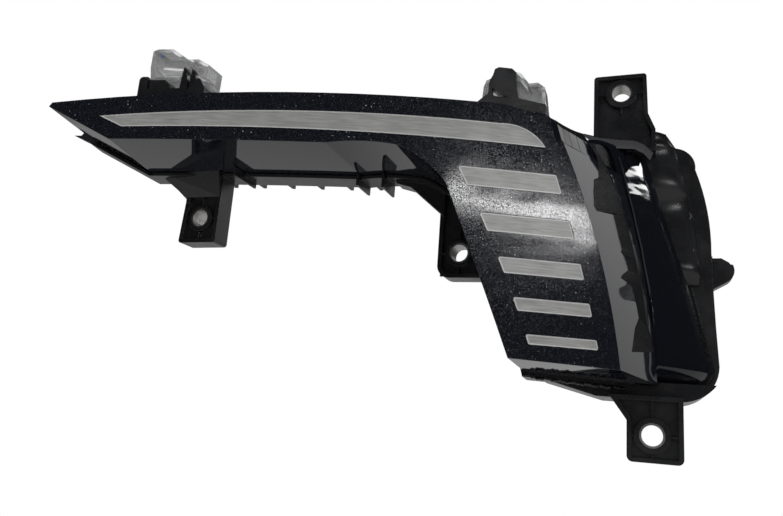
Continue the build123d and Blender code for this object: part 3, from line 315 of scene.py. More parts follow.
# The backdrop in reflections: the directions between which each part of it begins
BACKDROP_Y = (0.58, 0.63)
BACKDROP_LOW_Z = (0.45, 0.35)
BACKDROP_OUTBOARD_X = (0.25, 0.35)
BACKDROP_RISE_Z = (0.1, 0.6)
BACKDROP_RISE_LEVELS = (0.45, 1.0)
BACKDROP_INBOARD_X = (-0.65, -0.5)
BACKDROP_INBOARD_LEVELS = (0.5, 1.0)
ROOM_IN_GLOSS = 0.015
FLOOR_SIZE = 3.0

# Names of the finishes that several steps share
MASK_FINISH = "Mask gloss black"
COVER_FINISH = "Cover gloss black"
HOUSING_FINISH = "Housing satin black"
# The fold strip's finish, black that barely reflects: a painted dark reflection
DARK_REFLECTION_FINISH = "Painted dark reflection"

# Solids on which the outboard side's lines lie
OUTBOARD_NODES = ("lens_mask", "side_cover", "seal_bead")

# Optics that the plastics share, and a pure white
PLASTIC_IOR = 1.5
CLEAR_IOR = 1.49
WHITE = (1.0, 1.0, 1.0, 1.0)

# The mask's front and top, by the normals between which each begins
FRONT_NORMAL_Y = (-0.86, -0.93)
TOP_NORMAL_Z = (0.6, 0.9)
TOP_ROUGHNESS = 0.4

# Dust and grit on the front, as shares of the dust's spacing
DUST_REACH = 0.2
SMALL_DUST_SPACING = 0.45
SMALL_DUST_STRENGTH = 0.3
GRIT_SPACING = 0.3

# Parts that share a finish
SATIN_NODES = ("housing", "rear_lid", "left_bracket", "right_bracket")
SLEEVE_NODES = ("upper_sleeve", "arm_sleeve", "middle_sleeve", "lower_sleeve")
CLEAR_NODES = ("left_clear_block", "right_clear_block")
SEALANT_NODES = ("seal_bead", "foot_bead", "side_bead")
GUIDE_NODES = ("arm_light_guide", "column_light_guide")
REFLECTOR_NODES = ("arm_reflector", "column_reflector")
BOARD_NODES = ("arm_light_board", "column_light_board", "driver_board")
EMITTER_NODES = ("arm_leds", "column_leds")
SCREW_NODES = ("board_screws", "lid_screws")


def color_setting(name, description, color):
    """A setting that holds an opaque colour."""
    return FloatVectorProperty(
        name=name, description=description, subtype="COLOR", size=4, default=color + (1.0,)
    )


def length_setting(name, description, length, least, most):
    """A setting that holds a length in metres, and its bounds."""
    return FloatProperty(
        name=name, description=description, unit="LENGTH", default=length, min=least, max=most
    )


class LampFinish(bpy.types.PropertyGroup):
    """Colours and textures of the lamp's surfaces."""

    mask_color: color_setting(
        "Mask colour", "Colour of the gloss mask and outboard cover", (0.0045, 0.005, 0.0075)
    )
    housing_color: color_setting(
        "Housing colour", "Colour of the moulded housing, lid and brackets", (0.0085, 0.0088, 0.0098)
    )
    window_color: color_setting(
        "Window colour", "Colour of the unlit light windows", (0.225, 0.225, 0.22)
    )
    film_color: color_setting(
        "Film colour", "Colour of the thin film of grit on the mask's front", (0.013, 0.0145, 0.02)
    )
    edge_radius: length_setting(
        "Edge radius", "Radius that the light sees on the moulded edges", 0.0005, 0.0, 0.003
    )
    dust_color: color_setting(
        "Dust colour", "Colour of the dust specks on the front", (0.55, 0.55, 0.57)
    )
    dust_spacing: length_setting(
        "Dust spacing", "Mean distance between the dust specks", 0.0013, 0.0005, 0.02
    )


class LampTrim(bpy.types.PropertyGroup):
    """Sizes of the small trim that is added to the solids."""

    # The rim's pale colour is a painted highlight on the windows' edges
    rim_width: length_setting(
        "Window rim width", "Width of the bright bevel around each light window", 0.0006, 0.0001, 0.002
    )
    rim_height: length_setting(
        "Window rim height", "Height of the bright bevel over the window", 0.00015, 0.0, 0.001
    )
    bead_radius: length_setting(
        "Sealant radius", "Radius of the squeezed sealant under the column", 0.0009, 0.0003, 0.003
    )
    bead_segments: IntProperty(
        name="Sealant steps",
        description="Number of steps along the sealant",
        default=64,
        min=8,
        max=400,
    )


class LampStudio(bpy.types.PropertyGroup):
    """Light and background of the studio."""

    floor_drop: length_setting(
        "Floor drop", "Height of the lamp's lowest point over the floor", 0.22, 0.0, 1.0
    )
    floor_glow: FloatProperty(
        name="Floor in reflections",
        description="Brightness of the floor as the gloss surfaces show it",
        default=0.5,
        min=0.0,
        max=1.0,
    )
    room_level: FloatProperty(
        name="Room level",
        description="Strength of the even light from all sides",
        default=0.42,
        min=0.0,
        max=2.0,
    )
    key_power: FloatProperty(
        name="Key power",
        description="Power of the large soft light over the camera",
        unit="POWER",
        default=9.0,
        min=0.0,
        max=100.0,
    )


def finish():
    """The surface settings."""
    return bpy.context.scene.lamp_finish


def trim():
    """The trim settings."""
    return bpy.context.scene.lamp_trim


def studio():
    """The studio settings."""
    return bpy.context.scene.lamp_studio


def new_material(name, color, roughness, **sockets):
    """A node material with its main shader set, as (material, node tree, shader)."""
    material = bpy.data.materials.new(name)
    material.use_nodes = True
    shader = material.node_tree.nodes["Principled BSDF"]
    shader.inputs["Base Color"].default_value = tuple(color)[:3] + (1.0,)
    shader.inputs["Roughness"].default_value = roughness
    for label, value in sockets.items():
        shader.inputs[label.replace("_", " ")].default_value = value
    return material, material.node_tree, shader


def place_of(tree, stretch=(1.0, 1.0, 1.0)):
    """The object's own coordinates, stretched along its axes."""
    coordinates = tree.nodes.new("ShaderNodeTexCoord")
    mapping = tree.nodes.new("ShaderNodeMapping")
    mapping.inputs["Scale"].default_value = stretch
    tree.links.new(coordinates.outputs["Object"], mapping.inputs["Vector"])
    return mapping.outputs["Vector"]


def noise(tree, vector, scale, detail, roughness=0.55):
    """A cloud pattern's value."""
    texture = tree.nodes.new("ShaderNodeTexNoise")
    texture.inputs["Scale"].default_value = scale
    texture.inputs["Detail"].default_value = detail
    texture.inputs["Roughness"].default_value = roughness
    tree.links.new(vector, texture.inputs["Vector"])
    return texture.outputs["Fac"]


def math_node(tree, operation, first, second, clamp=False):
    """The result of one sum on two values or sockets."""
    node = tree.nodes.new("ShaderNodeMath")
    node.operation = operation
    node.use_clamp = clamp
    for index, value in enumerate((first, second)):
        if isinstance(value, (int, float)):
            node.inputs[index].default_value = value
        else:
            tree.links.new(value, node.inputs[index])
    return node.outputs["Value"]


def spread(tree, value, low, high, start=0.0, end=1.0):
    """A value moved from one span to another, and kept inside it."""
    node = tree.nodes.new("ShaderNodeMapRange")
    span = {"From Min": low, "From Max": high, "To Min": start, "To Max": end}
    for label, number in span.items():
        node.inputs[label].default_value = number
    tree.links.new(value, node.inputs["Value"])
    return node.outputs["Result"]


def mixed(tree, share, first, second):
    """Two colours mixed by a share."""
    node = tree.nodes.new("ShaderNodeMix")
    node.data_type = "RGBA"
    tree.links.new(share, node.inputs["Factor"])
    for label, color in (("A", first), ("B", second)):
        socket = [s for s in node.inputs if s.name == label and s.type == "RGBA"][0]
        if isinstance(color, bpy.types.NodeSocket):
            tree.links.new(color, socket)
        else:
            socket.default_value = tuple(color)[:3] + (1.0,)
    return [s for s in node.outputs if s.type == "RGBA"][0]


def tint(tree, shader, share, first, second):
    """Colours a surface with two colours mixed by a share."""
    tree.links.new(mixed(tree, share, first, second), shader.inputs["Base Color"])


def shade(color, share):
    """A colour made darker or paler."""
    return tuple(share * part for part in color[:3])


def roughen(tree, shader, pattern, low, high, smooth, rough):
    """Spreads a surface's roughness by a pattern, from smooth at its low value to rough."""
    tree.links.new(spread(tree, pattern, low, high, smooth, rough), shader.inputs["Roughness"])


def bump(tree, shader, height, distance, strength, edge=0.0):
    """A relief on the shader from a height pattern, on corners rounded by an edge radius."""
    node = tree.nodes.new("ShaderNodeBump")
    node.inputs["Distance"].default_value = distance
    node.inputs["Strength"].default_value = strength
    tree.links.new(height, node.inputs["Height"])
    tree.links.new(node.outputs["Normal"], shader.inputs["Normal"])
    if edge:
        rounding = tree.nodes.new("ShaderNodeBevel")
        rounding.samples = 4
        rounding.inputs["Radius"].default_value = edge
        tree.links.new(rounding.outputs["Normal"], node.inputs["Normal"])


def scattered(tree, spacing):
    """Scattered points: the distance to the nearest, and that one's own values as a colour."""
    cells = tree.nodes.new("ShaderNodeTexVoronoi")
    cells.inputs["Scale"].default_value = 1.0 / spacing
    tree.links.new(place_of(tree), cells.inputs["Vector"])
    split = tree.nodes.new("ShaderNodeSeparateColor")
    tree.links.new(cells.outputs["Color"], split.inputs["Color"])
    return cells.outputs["Distance"], split.outputs


def dust_share(tree, spacing, reach):
    """Where the dust specks lie: scattered points of uneven size, fewer on some stretches."""
    distance, values = scattered(tree, spacing)
    cloud = noise(tree, place_of(tree), scale=45.0, detail=2.0)
    size = spread(tree, values["Red"], 0.35, 1.0, 0.0, reach)
    size = math_node(tree, "MULTIPLY", size, spread(tree, cloud, 0.35, 0.65, 0.35, 1.25))
    inside = math_node(tree, "LESS_THAN", distance, size)
    faint = spread(tree, values["Green"], 0.0, 1.0, 0.12, 0.9)
    return math_node(tree, "MULTIPLY", inside, faint)


def facing(tree, axis, start, full):
    """How far a surface looks along an axis: 0 at one value of its normal and 1 at another."""
    geometry = tree.nodes.new("ShaderNodeNewGeometry")
    split = tree.nodes.new("ShaderNodeSeparateXYZ")
    tree.links.new(geometry.outputs["Normal"], split.inputs["Vector"])
    return spread(tree, split.outputs[axis], start, full, 0.0, 1.0)


def gloss_black(name):
    """Polished black plastic with a faint ripple."""
    looks = finish()
    material, tree, shader = new_material(name, looks.mask_color, 0.05, IOR=PLASTIC_IOR)
    haze = noise(tree, place_of(tree), scale=160.0, detail=4.0)
    roughen(tree, shader, haze, 0.4, 0.8, 0.03, 0.07)
    ripple = noise(tree, place_of(tree, (1.0, 1.0, 2.2)), scale=22.0, detail=2.0)
    bump(tree, shader, ripple, distance=0.0012, strength=0.5, edge=looks.edge_radius)
    return material


def dusty_black(name):
    """The mask's polished black, with dust and fine grit on its front."""
    looks = finish()
    material, tree, shader = new_material(name, looks.mask_color, 0.05, IOR=PLASTIC_IOR)
    vector = place_of(tree)
    front = facing(tree, "Y", *FRONT_NORMAL_Y)
    top = math_node(tree, "MULTIPLY", facing(tree, "Z", *TOP_NORMAL_Z), TOP_ROUGHNESS)
    coarse = dust_share(tree, looks.dust_spacing, DUST_REACH)
    small = dust_share(tree, SMALL_DUST_SPACING * looks.dust_spacing, DUST_REACH)
    small = math_node(tree, "MULTIPLY", small, SMALL_DUST_STRENGTH)
    dust = math_node(tree, "MAXIMUM", coarse, small)
    dust = math_node(tree, "MULTIPLY", dust, front)
    fine = noise(tree, vector, scale=1900.0, detail=2.0)
    grain = scattered(tree, GRIT_SPACING * looks.dust_spacing)[1]["Red"]
    grit = spread(tree, grain, 0.55, 1.0)
    film = mixed(tree, grit, looks.mask_color, looks.film_color)
    tint(tree, shader, dust, film, looks.dust_color)
    dull = spread(tree, grain, 0.3, 1.0, 0.03, 0.3)
    dull = math_node(tree, "MULTIPLY", front, dull)
    dull = math_node(tree, "MAXIMUM", dull, top)
    tree.links.new(math_node(tree, "ADD", dull, 0.04), shader.inputs["Roughness"])
    ripple = noise(tree, place_of(tree, (1.0, 1.0, 1.6)), scale=24.0, detail=1.5)
    waves = math_node(tree, "MULTIPLY", ripple, 5.0)
    relief = math_node(tree, "ADD", math_node(tree, "MULTIPLY", fine, 0.12), waves)
    relief = math_node(tree, "MULTIPLY", relief, front)
    bump(tree, shader, relief, distance=0.00022, strength=0.4, edge=looks.edge_radius)
    return material


def satin_black(name):
    """Moulded black plastic with a fine grain and faint handling marks."""
    looks = finish()
    material, tree, shader = new_material(name, looks.housing_color, 0.36, IOR=PLASTIC_IOR)
    vector = place_of(tree)
    cloud = noise(tree, vector, scale=60.0, detail=4.0)
    pale = shade(looks.housing_color, 1.9)
    share = spread(tree, cloud, 0.45, 0.8)
    tint(tree, shader, share, looks.housing_color, pale)
    grain = noise(tree, vector, scale=1800.0, detail=2.0)
    roughen(tree, shader, cloud, 0.3, 0.75, 0.2, 0.38)
    bump(tree, shader, grain, distance=0.00005, strength=0.4, edge=looks.edge_radius)
    return material


def dull_black(name):
    """Black plastic that shows next to nothing of the room, used for a painted dark reflection."""
    material, tree, shader = new_material(
        name, (0.004, 0.0042, 0.005), 0.45, IOR=1.4, Specular_IOR_Level=0.12
    )
    grain = noise(tree, place_of(tree), scale=700.0, detail=2.0)
    roughen(tree, shader, grain, 0.3, 0.7, 0.35, 0.55)
    bump(tree, shader, grain, distance=0.00004, strength=0.3)
    return material


def window_diffuser(name):
    """The light windows: frosted pale plastic with fine streaks along its length."""
    looks = finish()
    material, tree, shader = new_material(name, looks.window_color, 0.3, IOR=PLASTIC_IOR)
    lengthways = place_of(tree, (90.0, 90.0, 1500.0))
    streaks = noise(tree, lengthways, scale=1.0, detail=3.0, roughness=0.6)
    cloud = noise(tree, place_of(tree), scale=70.0, detail=3.0)
    tone = math_node(tree, "ADD", streaks, math_node(tree, "MULTIPLY", cloud, 0.4))
    share = spread(tree, tone, 0.45, 0.95)
    dark = shade(looks.window_color, 0.7)
    pale = shade(looks.window_color, 1.3)
    tint(tree, shader, share, dark, pale)
    bump(tree, shader, streaks, distance=0.00012, strength=0.5)
    return material


def clear_plastic(name, color=(0.9, 0.91, 0.91), share=1.0):
    """Clear moulded plastic with faint flow marks."""
    material, tree, shader = new_material(
        name, color, 0.06, IOR=CLEAR_IOR, Transmission_Weight=share
    )
    flow = noise(tree, place_of(tree, (1.0, 1.0, 0.4)), scale=170.0, detail=3.0)
    roughen(tree, shader, flow, 0.35, 0.75, 0.06, 0.24)
    bump(tree, shader, flow, distance=0.0003, strength=0.5, edge=finish().edge_radius)
    return material


def turned_steel(name, color=(0.55, 0.54, 0.52), roughness=0.3):
    """Plain steel with turning marks around its axis."""
    material, tree, shader = new_material(name, color, roughness, Metallic=1.0)
    marks = noise(tree, place_of(tree, (60.0, 2400.0, 60.0)), scale=1.0, detail=2.0)
    cloud = noise(tree, place_of(tree), scale=350.0, detail=3.0)
    dark = shade(color, 0.6)
    share = spread(tree, cloud, 0.4, 0.75)
    tint(tree, shader, share, color, dark)
    roughen(tree, shader, marks, 0.3, 0.7, roughness * 0.7, roughness * 1.5)
    bump(tree, shader, marks, distance=0.00004, strength=0.5)
    return material


def rough_metal(name, color):
    """Cast or rolled metal with a mottled surface."""
    material, tree, shader = new_material(name, color, 0.45, Metallic=1.0)
    cloud = noise(tree, place_of(tree), scale=220.0, detail=4.0)
    dark = shade(color, 0.75)
    share = spread(tree, cloud, 0.35, 0.75)
    tint(tree, shader, share, color, dark)
    bump(tree, shader, cloud, distance=0.00012, strength=0.4)
    return material


def sealant_black(name):
    """Cured black sealant: glossy, lumpy and uneven."""
    material, tree, shader = new_material(name, (0.006, 0.006, 0.006), 0.2, IOR=1.45)
    lumps = noise(tree, place_of(tree), scale=420.0, detail=4.0, roughness=0.6)
    roughen(tree, shader, lumps, 0.3, 0.75, 0.12, 0.4)
    bump(tree, shader, lumps, distance=0.0002, strength=0.4)
    return material


def soft_rubber(name, color):
    """Matte rubber with a fine bloom."""
    material, tree, shader = new_material(name, color, 0.75, IOR=PLASTIC_IOR)
    bloom = noise(tree, place_of(tree), scale=500.0, detail=4.0)
    pale = shade(color, 1.6)
    share = spread(tree, bloom, 0.4, 0.8)
    tint(tree, shader, share, color, pale)
    bump(tree, shader, bloom, distance=0.0001, strength=0.4)
    return material


def plain_plastic(name, color, roughness, grain_scale=900.0):
    """Moulded plastic of one colour with a fine grain."""
    material, tree, shader = new_material(name, color, roughness, IOR=PLASTIC_IOR)
    grain = noise(tree, place_of(tree), scale=grain_scale, detail=2.0)
    dark = shade(color, 0.85)
    share = spread(tree, grain, 0.35, 0.7)
    tint(tree, shader, share, color, dark)
    bump(tree, shader, grain, distance=0.00004, strength=0.4)
    return material


def circuit_board(name):
    """Green solder resist over faint copper tracks."""
    green = (0.012, 0.07, 0.03)
    material, tree, shader = new_material(name, green, 0.35, IOR=PLASTIC_IOR)
    tracks = tree.nodes.new("ShaderNodeTexWave")
    tracks.inputs["Scale"].default_value = 160.0
    tracks.inputs["Distortion"].default_value = 1.5
    tree.links.new(place_of(tree), tracks.inputs["Vector"])
    share = spread(tree, tracks.outputs["Fac"], 0.55, 0.62)
    tint(tree, shader, share, green, (0.025, 0.12, 0.05))
    bump(tree, shader, tracks.outputs["Fac"], distance=0.00003, strength=0.4)
    return material


def dress(names, material):
    """Puts a material in every slot of the named solids."""
    for name in names:
        slots = NODES[name].data.materials
        if len(slots) == 0:
            slots.append(material)
        for index in range(len(slots)):
            slots[index] = material


def face_center():
    """X and Y of the front cylinder's axis."""
    x, y = FACE_POINT
    return (x - FACE_RADIUS * math.sin(FACE_SWEEP), y + FACE_RADIUS * math.cos(FACE_SWEEP))


def face_y(x):
    """Y of the front surface at an X."""
    center_x, center_y = face_center()
    return center_y - math.sqrt(FACE_RADIUS**2 - (x - center_x) ** 2)


def add_piece(name, mesh, material, smooth=False):
    """Makes a finished mesh a piece of the lamp."""
    bmesh.ops.recalc_face_normals(mesh, faces=mesh.faces)
    data = bpy.data.meshes.new(name)
    mesh.to_mesh(data)
    mesh.free()
    data.materials.append(material)
    for polygon in data.polygons:
        polygon.use_smooth = smooth
    piece = bpy.data.objects.new(name, data)
    bpy.context.scene.collection.objects.link(piece)
    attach(piece, "root")


def lofted(sections):
    """A closed body run through a row of sections that all have as many corners."""
    mesh = bmesh.new()
    end = mesh.faces.new([mesh.verts.new(point) for point in sections[0]])
    before = [Vector(point) for point in sections[0]]
    for section in sections[1:]:
        grown = bmesh.ops.extrude_face_region(mesh, geom=[end])
        end = [item for item in grown["geom"] if isinstance(item, bmesh.types.BMFace)][0]
        for vert in end.verts:
            index = min(range(len(before)), key=lambda step: (vert.co - before[step]).length)
            vert.co = section[index]
        before = [Vector(point) for point in section]
    return mesh


def ring(center, along, radius, sides):
    """A round section across a route."""
    aside = Vector((0.0, 0.0, 1.0)) if abs(along.z) < 0.9 else Vector((1.0, 0.0, 0.0))
    side = along.cross(aside)
    side.normalize()
    up = side.cross(along)
    turns = [2.0 * math.pi * step / sides for step in range(sides)]
    return [center + radius * (side * math.cos(turn) + up * math.sin(turn)) for turn in turns]


def tube(route, radius, sides):
    """A round bead along a route, thinner at its two ends."""
    points = [Vector(point) for point in route]
    sections = []
    for index, point in enumerate(points):
        before = points[max(index - 1, 0)]
        after = points[min(index + 1, len(points) - 1)]
        size = radius * (BEAD_END_SHARE if index in (0, len(points) - 1) else 1.0)
        sections.append(ring(point, (after - before).normalized(), size, sides))
    return lofted(sections)


def blob(place, size, rounds, unevenness):
    """An uneven lump: a ball pulled about by smooth noise."""
    mesh = bmesh.new()
    bmesh.ops.create_icosphere(mesh, subdivisions=rounds, radius=1.0)
    for vert in mesh.verts:
        vert.co *= 1.0 + unevenness * hetero_terrain(vert.co * 1.7, 1.0, 2.0, 3, 0.0)
    bmesh.ops.scale(mesh, verts=mesh.verts, vec=size)
    bmesh.ops.translate(mesh, verts=mesh.verts, vec=place)
    return mesh


def wave(step, first, second):
    """A smooth uneven swing between -1 and 1."""
    return 0.6 * math.sin(first * step) + 0.4 * math.sin(second * step + 1.3)


def foot_route():
    """The squeezed bead's way along the seam under the column's foot."""
    start, end = FOOT_BEAD_X
    steps = trim().bead_segments
    route = []
    for step in range(steps + 1):
        x = start + (end - start) * step / steps
        y = face_y(x) + FOOT_BEAD_DEPTH + FOOT_BEAD_SWAY[0] * wave(step, 0.9, 2.3)
        z = FOOT_BEAD_Z + FOOT_BEAD_FALL * step / steps
        z += FOOT_BEAD_SWAY[1] * wave(step, 0.7, 1.9)
        route.append((x, y, z))
    return route


def glue_route():
    """The rough glue's way down the cover's rear edge."""
    route = []
    steps = trim().bead_segments
    for step in range(steps + 1):
        share = step / steps * (len(GLUE_POINTS) - 1)
        index = min(int(share), len(GLUE_POINTS) - 2)
        point = Vector(GLUE_POINTS[index]).lerp(Vector(GLUE_POINTS[index + 1]), share - index)
        point.x += GLUE_SWAY * wave(step, 1.1, 2.7)
        point.y += GLUE_SWAY * wave(step, 0.8, 2.1)
        route.append(point)
    return route


def on_face(x, z, depth=0.0):
    """A point behind the front surface, measured along Y."""
    return (x, face_y(x) + depth, z)


def sight(pixel):
    """The direction in which the camera sees a pixel of the photograph."""
    across, down = [(part - middle) / FOCAL_PX for part, middle in zip(pixel, IMAGE_MIDDLE_PX)]
    way = Vector(CAMERA_RIGHT) * across - Vector(CAMERA_UP) * down - Vector(CAMERA_BACK)
    return way.normalized()


def to_tenth(point):
    """A point rounded to a tenth of a millimetre."""
    return Vector([round(part, 4) for part in point])


def at_depth(pixel, y):
    """Where a pixel's line of sight reaches a Y."""
    start, way = Vector(CAMERA_PLACE), sight(pixel)
    return to_tenth(start + way * ((y - start.y) / way.y))


def on_wall(pixel):
    """Where a pixel's line of sight meets the upper outboard wall's plane."""
    level, along, upward = WALL_PLANE
    start, way = Vector(CAMERA_PLACE), sight(pixel)
    gap = level + along * start.y + upward * start.z - start.x
    return to_tenth(start + way * (gap / (way.x - along * way.y - upward * way.z)))


def outboard_solids():
    """The outboard side's solids, ready for lines of sight to meet them."""
    mesh = bmesh.new()
    for name in OUTBOARD_NODES:
        mesh.from_mesh(NODES[name].data)
    solids = BVHTree.FromBMesh(mesh)
    mesh.free()
    return solids


def on_solids(solids, pixels, proud):
    """Where pixels' lines of sight meet the solids, a little out of the surface."""
    points = []
    for pixel in pixels:
        way = sight(pixel)
        spot, normal, _, _ = solids.ray_cast(Vector(CAMERA_PLACE), way)
        if spot is not None:
            points.append(to_tenth(spot + way * (proud / way.dot(normal))))
    return points


def mask_corner():
    """The front's top outboard corner, a thin plate over the solid's."""
    front = [Vector(on_face(x, z, -CORNER_PROUD)) for x, z in SHOULDER_FRONT]
    return lofted([front, [point + Vector((0.0, CORNER_THICKNESS, 0.0)) for point in front]])


def mask_shoulder():
    """The outboard wall's upper end and the dark slope over it, up to the ridge."""
    rows = []
    for pixel, (across, down, depth) in zip(WALL_TOP_PX, RIDGE_PX):
        wall, ridge = on_wall(pixel), at_depth((across, down), depth)
        foot = wall + WALL_DROP
        rows.append([wall, ridge, ridge + RIDGE_DROP, foot + RIDGE_DROP, foot])
    return lofted(rows)


def cover_brow():
    """The sloped band along the cover's top, from its front edge up to the lobe behind it."""
    rows = []
    for (low_x, low_z), (high_x, high_z) in zip(BROW_LOW, BROW_HIGH):
        low = Vector((low_x, BROW_FRONT_Y, low_z))
        high = Vector((high_x, BROW_REAR_Y, high_z))
        rows.append([low, high, high + BROW_SUNK, low + BROW_SUNK])
    return lofted(rows)


def reflection_edge(solids):
    """The ragged edge of the painted dark reflection on the outboard wall, from the top."""
    top = [on_wall(pixel) for pixel in (WALL_TOP_PX[-1], REFLECTION_EDGE_TOP_PX)]
    return top + on_solids(solids, REFLECTION_EDGE_PX, REFLECTION_EDGE_PROUD)


def fold_line(solids):
    """The fold behind the ragged line, from the top."""
    return [Vector(point) for point in FOLD_TOP] + on_solids(solids, FOLD_PX, FOLD_PROUD)


def dark_reflection_strip(flat, fold):
    """The strip that rises from the edge of the dark reflection to the fold, a painted dark reflection
    over the wall's grey.
    """
    rows = [[low, high, high + FOLD_SINK, low + FOLD_SINK] for low, high in zip(flat, fold)]
    return lofted(rows)


def lobe_bulge():
    """The pillow-shaped front of the rear compartment, beside the cover."""
    rows = []
    for z, left, right, swell in LOBE_ROWS:
        row = []
        for step in range(LOBE_SIDES + 1):
            turn = math.pi * step / LOBE_SIDES
            x = (left + right) / 2 - (right - left) / 2 * math.cos(turn)
            row.append(Vector((x, LOBE_Y - swell * math.sin(turn), z)))
        rows.append(row)
    return lofted(rows)


def plate_with_hole(outline, hole_center, hole_radius, front_y, thickness):
    """A flat plate across Y with one round hole."""
    mesh = bmesh.new()
    corners = [mesh.verts.new((x, front_y, z)) for x, z in outline]
    edges = [mesh.edges.new((a, b)) for a, b in zip(corners, corners[1:] + corners[:1])]
    circle = bmesh.ops.create_circle(mesh, segments=HOLE_SIDES, radius=hole_radius)
    upright = Matrix.Rotation(math.radians(90.0), 3, "X")
    bmesh.ops.rotate(mesh, verts=circle["verts"], matrix=upright)
    bmesh.ops.translate(mesh, verts=circle["verts"], vec=(hole_center[0], front_y, hole_center[1]))
    edges += list({edge for vert in circle["verts"] for edge in vert.link_edges})
    flat = bmesh.ops.triangle_fill(mesh, edges=edges, use_beauty=True)
    faces = [item for item in flat["geom"] if isinstance(item, bmesh.types.BMFace)]
    grown = bmesh.ops.extrude_face_region(mesh, geom=faces)
    moved = [item for item in grown["geom"] if isinstance(item, bmesh.types.BMVert)]
    bmesh.ops.translate(mesh, verts=moved, vec=(0.0, thickness, 0.0))
    return mesh


def tab_ribs(center, reach, ends, front_y):
    """Four thin ribs round a tab's boss, as one mesh."""
    x, z = center
    left, right, low, high = ends
    half = RIB_WIDTH / 2
    mesh = bmesh.new()
    for x0, x1, z0, z1 in (
        (left, x - reach, z - half, z + half),
        (x + reach, right, z - half, z + half),
        (x - half, x + half, low, z - reach),
        (x - half, x + half, z + reach, high),
    ):
        cube = bmesh.ops.create_cube(mesh, size=1.0)
        size = (x1 - x0, RIB_DEPTH, z1 - z0)
        bmesh.ops.scale(mesh, verts=cube["verts"], vec=size)
        middle = ((x0 + x1) / 2, front_y + RIB_DEPTH / 2, (z0 + z1) / 2)
        bmesh.ops.translate(mesh, verts=cube["verts"], vec=middle)
    return mesh


def window_rims():
    """A narrow raised border round each light window, which is coloured pale as a painted highlight on
    the windows' edges.
    """
    mesh = bmesh.new()
    mesh.from_mesh(NODES["window_lens"].data)
    bmesh.ops.remove_doubles(mesh, verts=mesh.verts, dist=SAME_POINT)
    mesh.normal_update()
    backs = [face for face in mesh.faces if not is_front(face)]
    bmesh.ops.delete(mesh, geom=backs, context="FACES")
    bmesh.ops.dissolve_limit(mesh, angle_limit=SAME_PLANE, verts=mesh.verts, edges=mesh.edges)
    kept = list(mesh.faces)
    bmesh.ops.inset_region(
        mesh, faces=kept, thickness=trim().rim_width, use_boundary=True, use_even_offset=True
    )
    bmesh.ops.delete(mesh, geom=kept, context="FACES")
    grown = bmesh.ops.extrude_face_region(mesh, geom=list(mesh.faces))
    moved = [item for item in grown["geom"] if isinstance(item, bmesh.types.BMVert)]
    bmesh.ops.translate(mesh, verts=moved, vec=(0.0, -trim().rim_height, 0.0))
    return mesh


def is_front(face):
    """Whether a face of the windows lies in their front surface."""
    spot = face.calc_center_median()
    shallow = spot.y - face_y(spot.x) < WINDOW_FRONT_REACH
    return shallow and face.normal.y <= WINDOW_FRONT_NORMAL_Y


class LAMP_OT_mask(bpy.types.Operator):
    """Dress the mask and the outboard cover in polished black, with dust on the front."""

    bl_idname = "lamp.mask"
    bl_label = "Mask and cover"

    def execute(self, context):
        dress(("lens_mask",), dusty_black(MASK_FINISH))
        dress(("side_cover",), gloss_black(COVER_FINISH))
        return {"FINISHED"}


class LAMP_OT_windows(bpy.types.Operator):
    """Dress the light windows."""

    bl_idname = "lamp.windows"
    bl_label = "Light windows"

    def execute(self, context):
        dress(("window_lens",), window_diffuser("Window diffuser"))
        # The rims' pale grey is a painted highlight where light catches the windows' edges
        border = plain_plastic("Window rim painted highlight", (0.5, 0.5, 0.49), 0.25)
        add_piece("window_rims", window_rims(), border)
        return {"FINISHED"}


class LAMP_OT_housing(bpy.types.Operator):
    """Dress the housing, the lid and the brackets in satin black."""

    bl_idname = "lamp.housing"
    bl_label = "Housing"

    def execute(self, context):
        dress(SATIN_NODES, satin_black(HOUSING_FINISH))
        dress(("connector_socket",), plain_plastic("Connector black", (0.012, 0.012, 0.013), 0.4))
        dress(("breather_vent",), plain_plastic("Vent grey", (0.05, 0.05, 0.053), 0.6))
        return {"FINISHED"}


class LAMP_OT_shoulder(bpy.types.Operator):
    """Add the mask's rising corner, the wall's fold with its strip as a painted dark reflection, the
    cover's brow in a painted grey reflection, its edge, and the lobe.
    """

    bl_idname = "lamp.shoulder"
    bl_label = "Shoulder and cover edges"

    def execute(self, context):
        mask = bpy.data.materials[MASK_FINISH]
        cover = bpy.data.materials[COVER_FINISH]
        housing = bpy.data.materials[HOUSING_FINISH]
        add_piece("mask_corner", mask_corner(), mask)
        add_piece("mask_shoulder", mask_shoulder(), cover)
        solids = outboard_solids()
        fold = fold_line(solids)
        strip = dark_reflection_strip(reflection_edge(solids), fold)
        # The fold strip's black barely reflects: a painted dark reflection on the outboard wall
        add_piece("dark_reflection_strip", strip, dull_black(DARK_REFLECTION_FINISH))
        ridge = tube(fold, FOLD_RADIUS, BEAD_SIDES)
        add_piece("fold_ridge", ridge, cover, True)
        # The brow's grey is a painted reflection of the bright band over the cover, whose real plastic
        # is gloss black
        brow_painted_reflection = plain_plastic("Brow painted reflection", (0.05, 0.05, 0.054), 0.3)
        add_piece("cover_brow", cover_brow(), brow_painted_reflection)
        edge = [PANEL_TOP] + on_solids(solids, PANEL_EDGE_PX, PANEL_PROUD)
        edge = tube(edge, PANEL_EDGE_RADIUS, BEAD_SIDES)
        add_piece("cover_edge", edge, cover, True)
        add_piece("lobe_front", lobe_bulge(), housing, True)
        return {"FINISHED"}


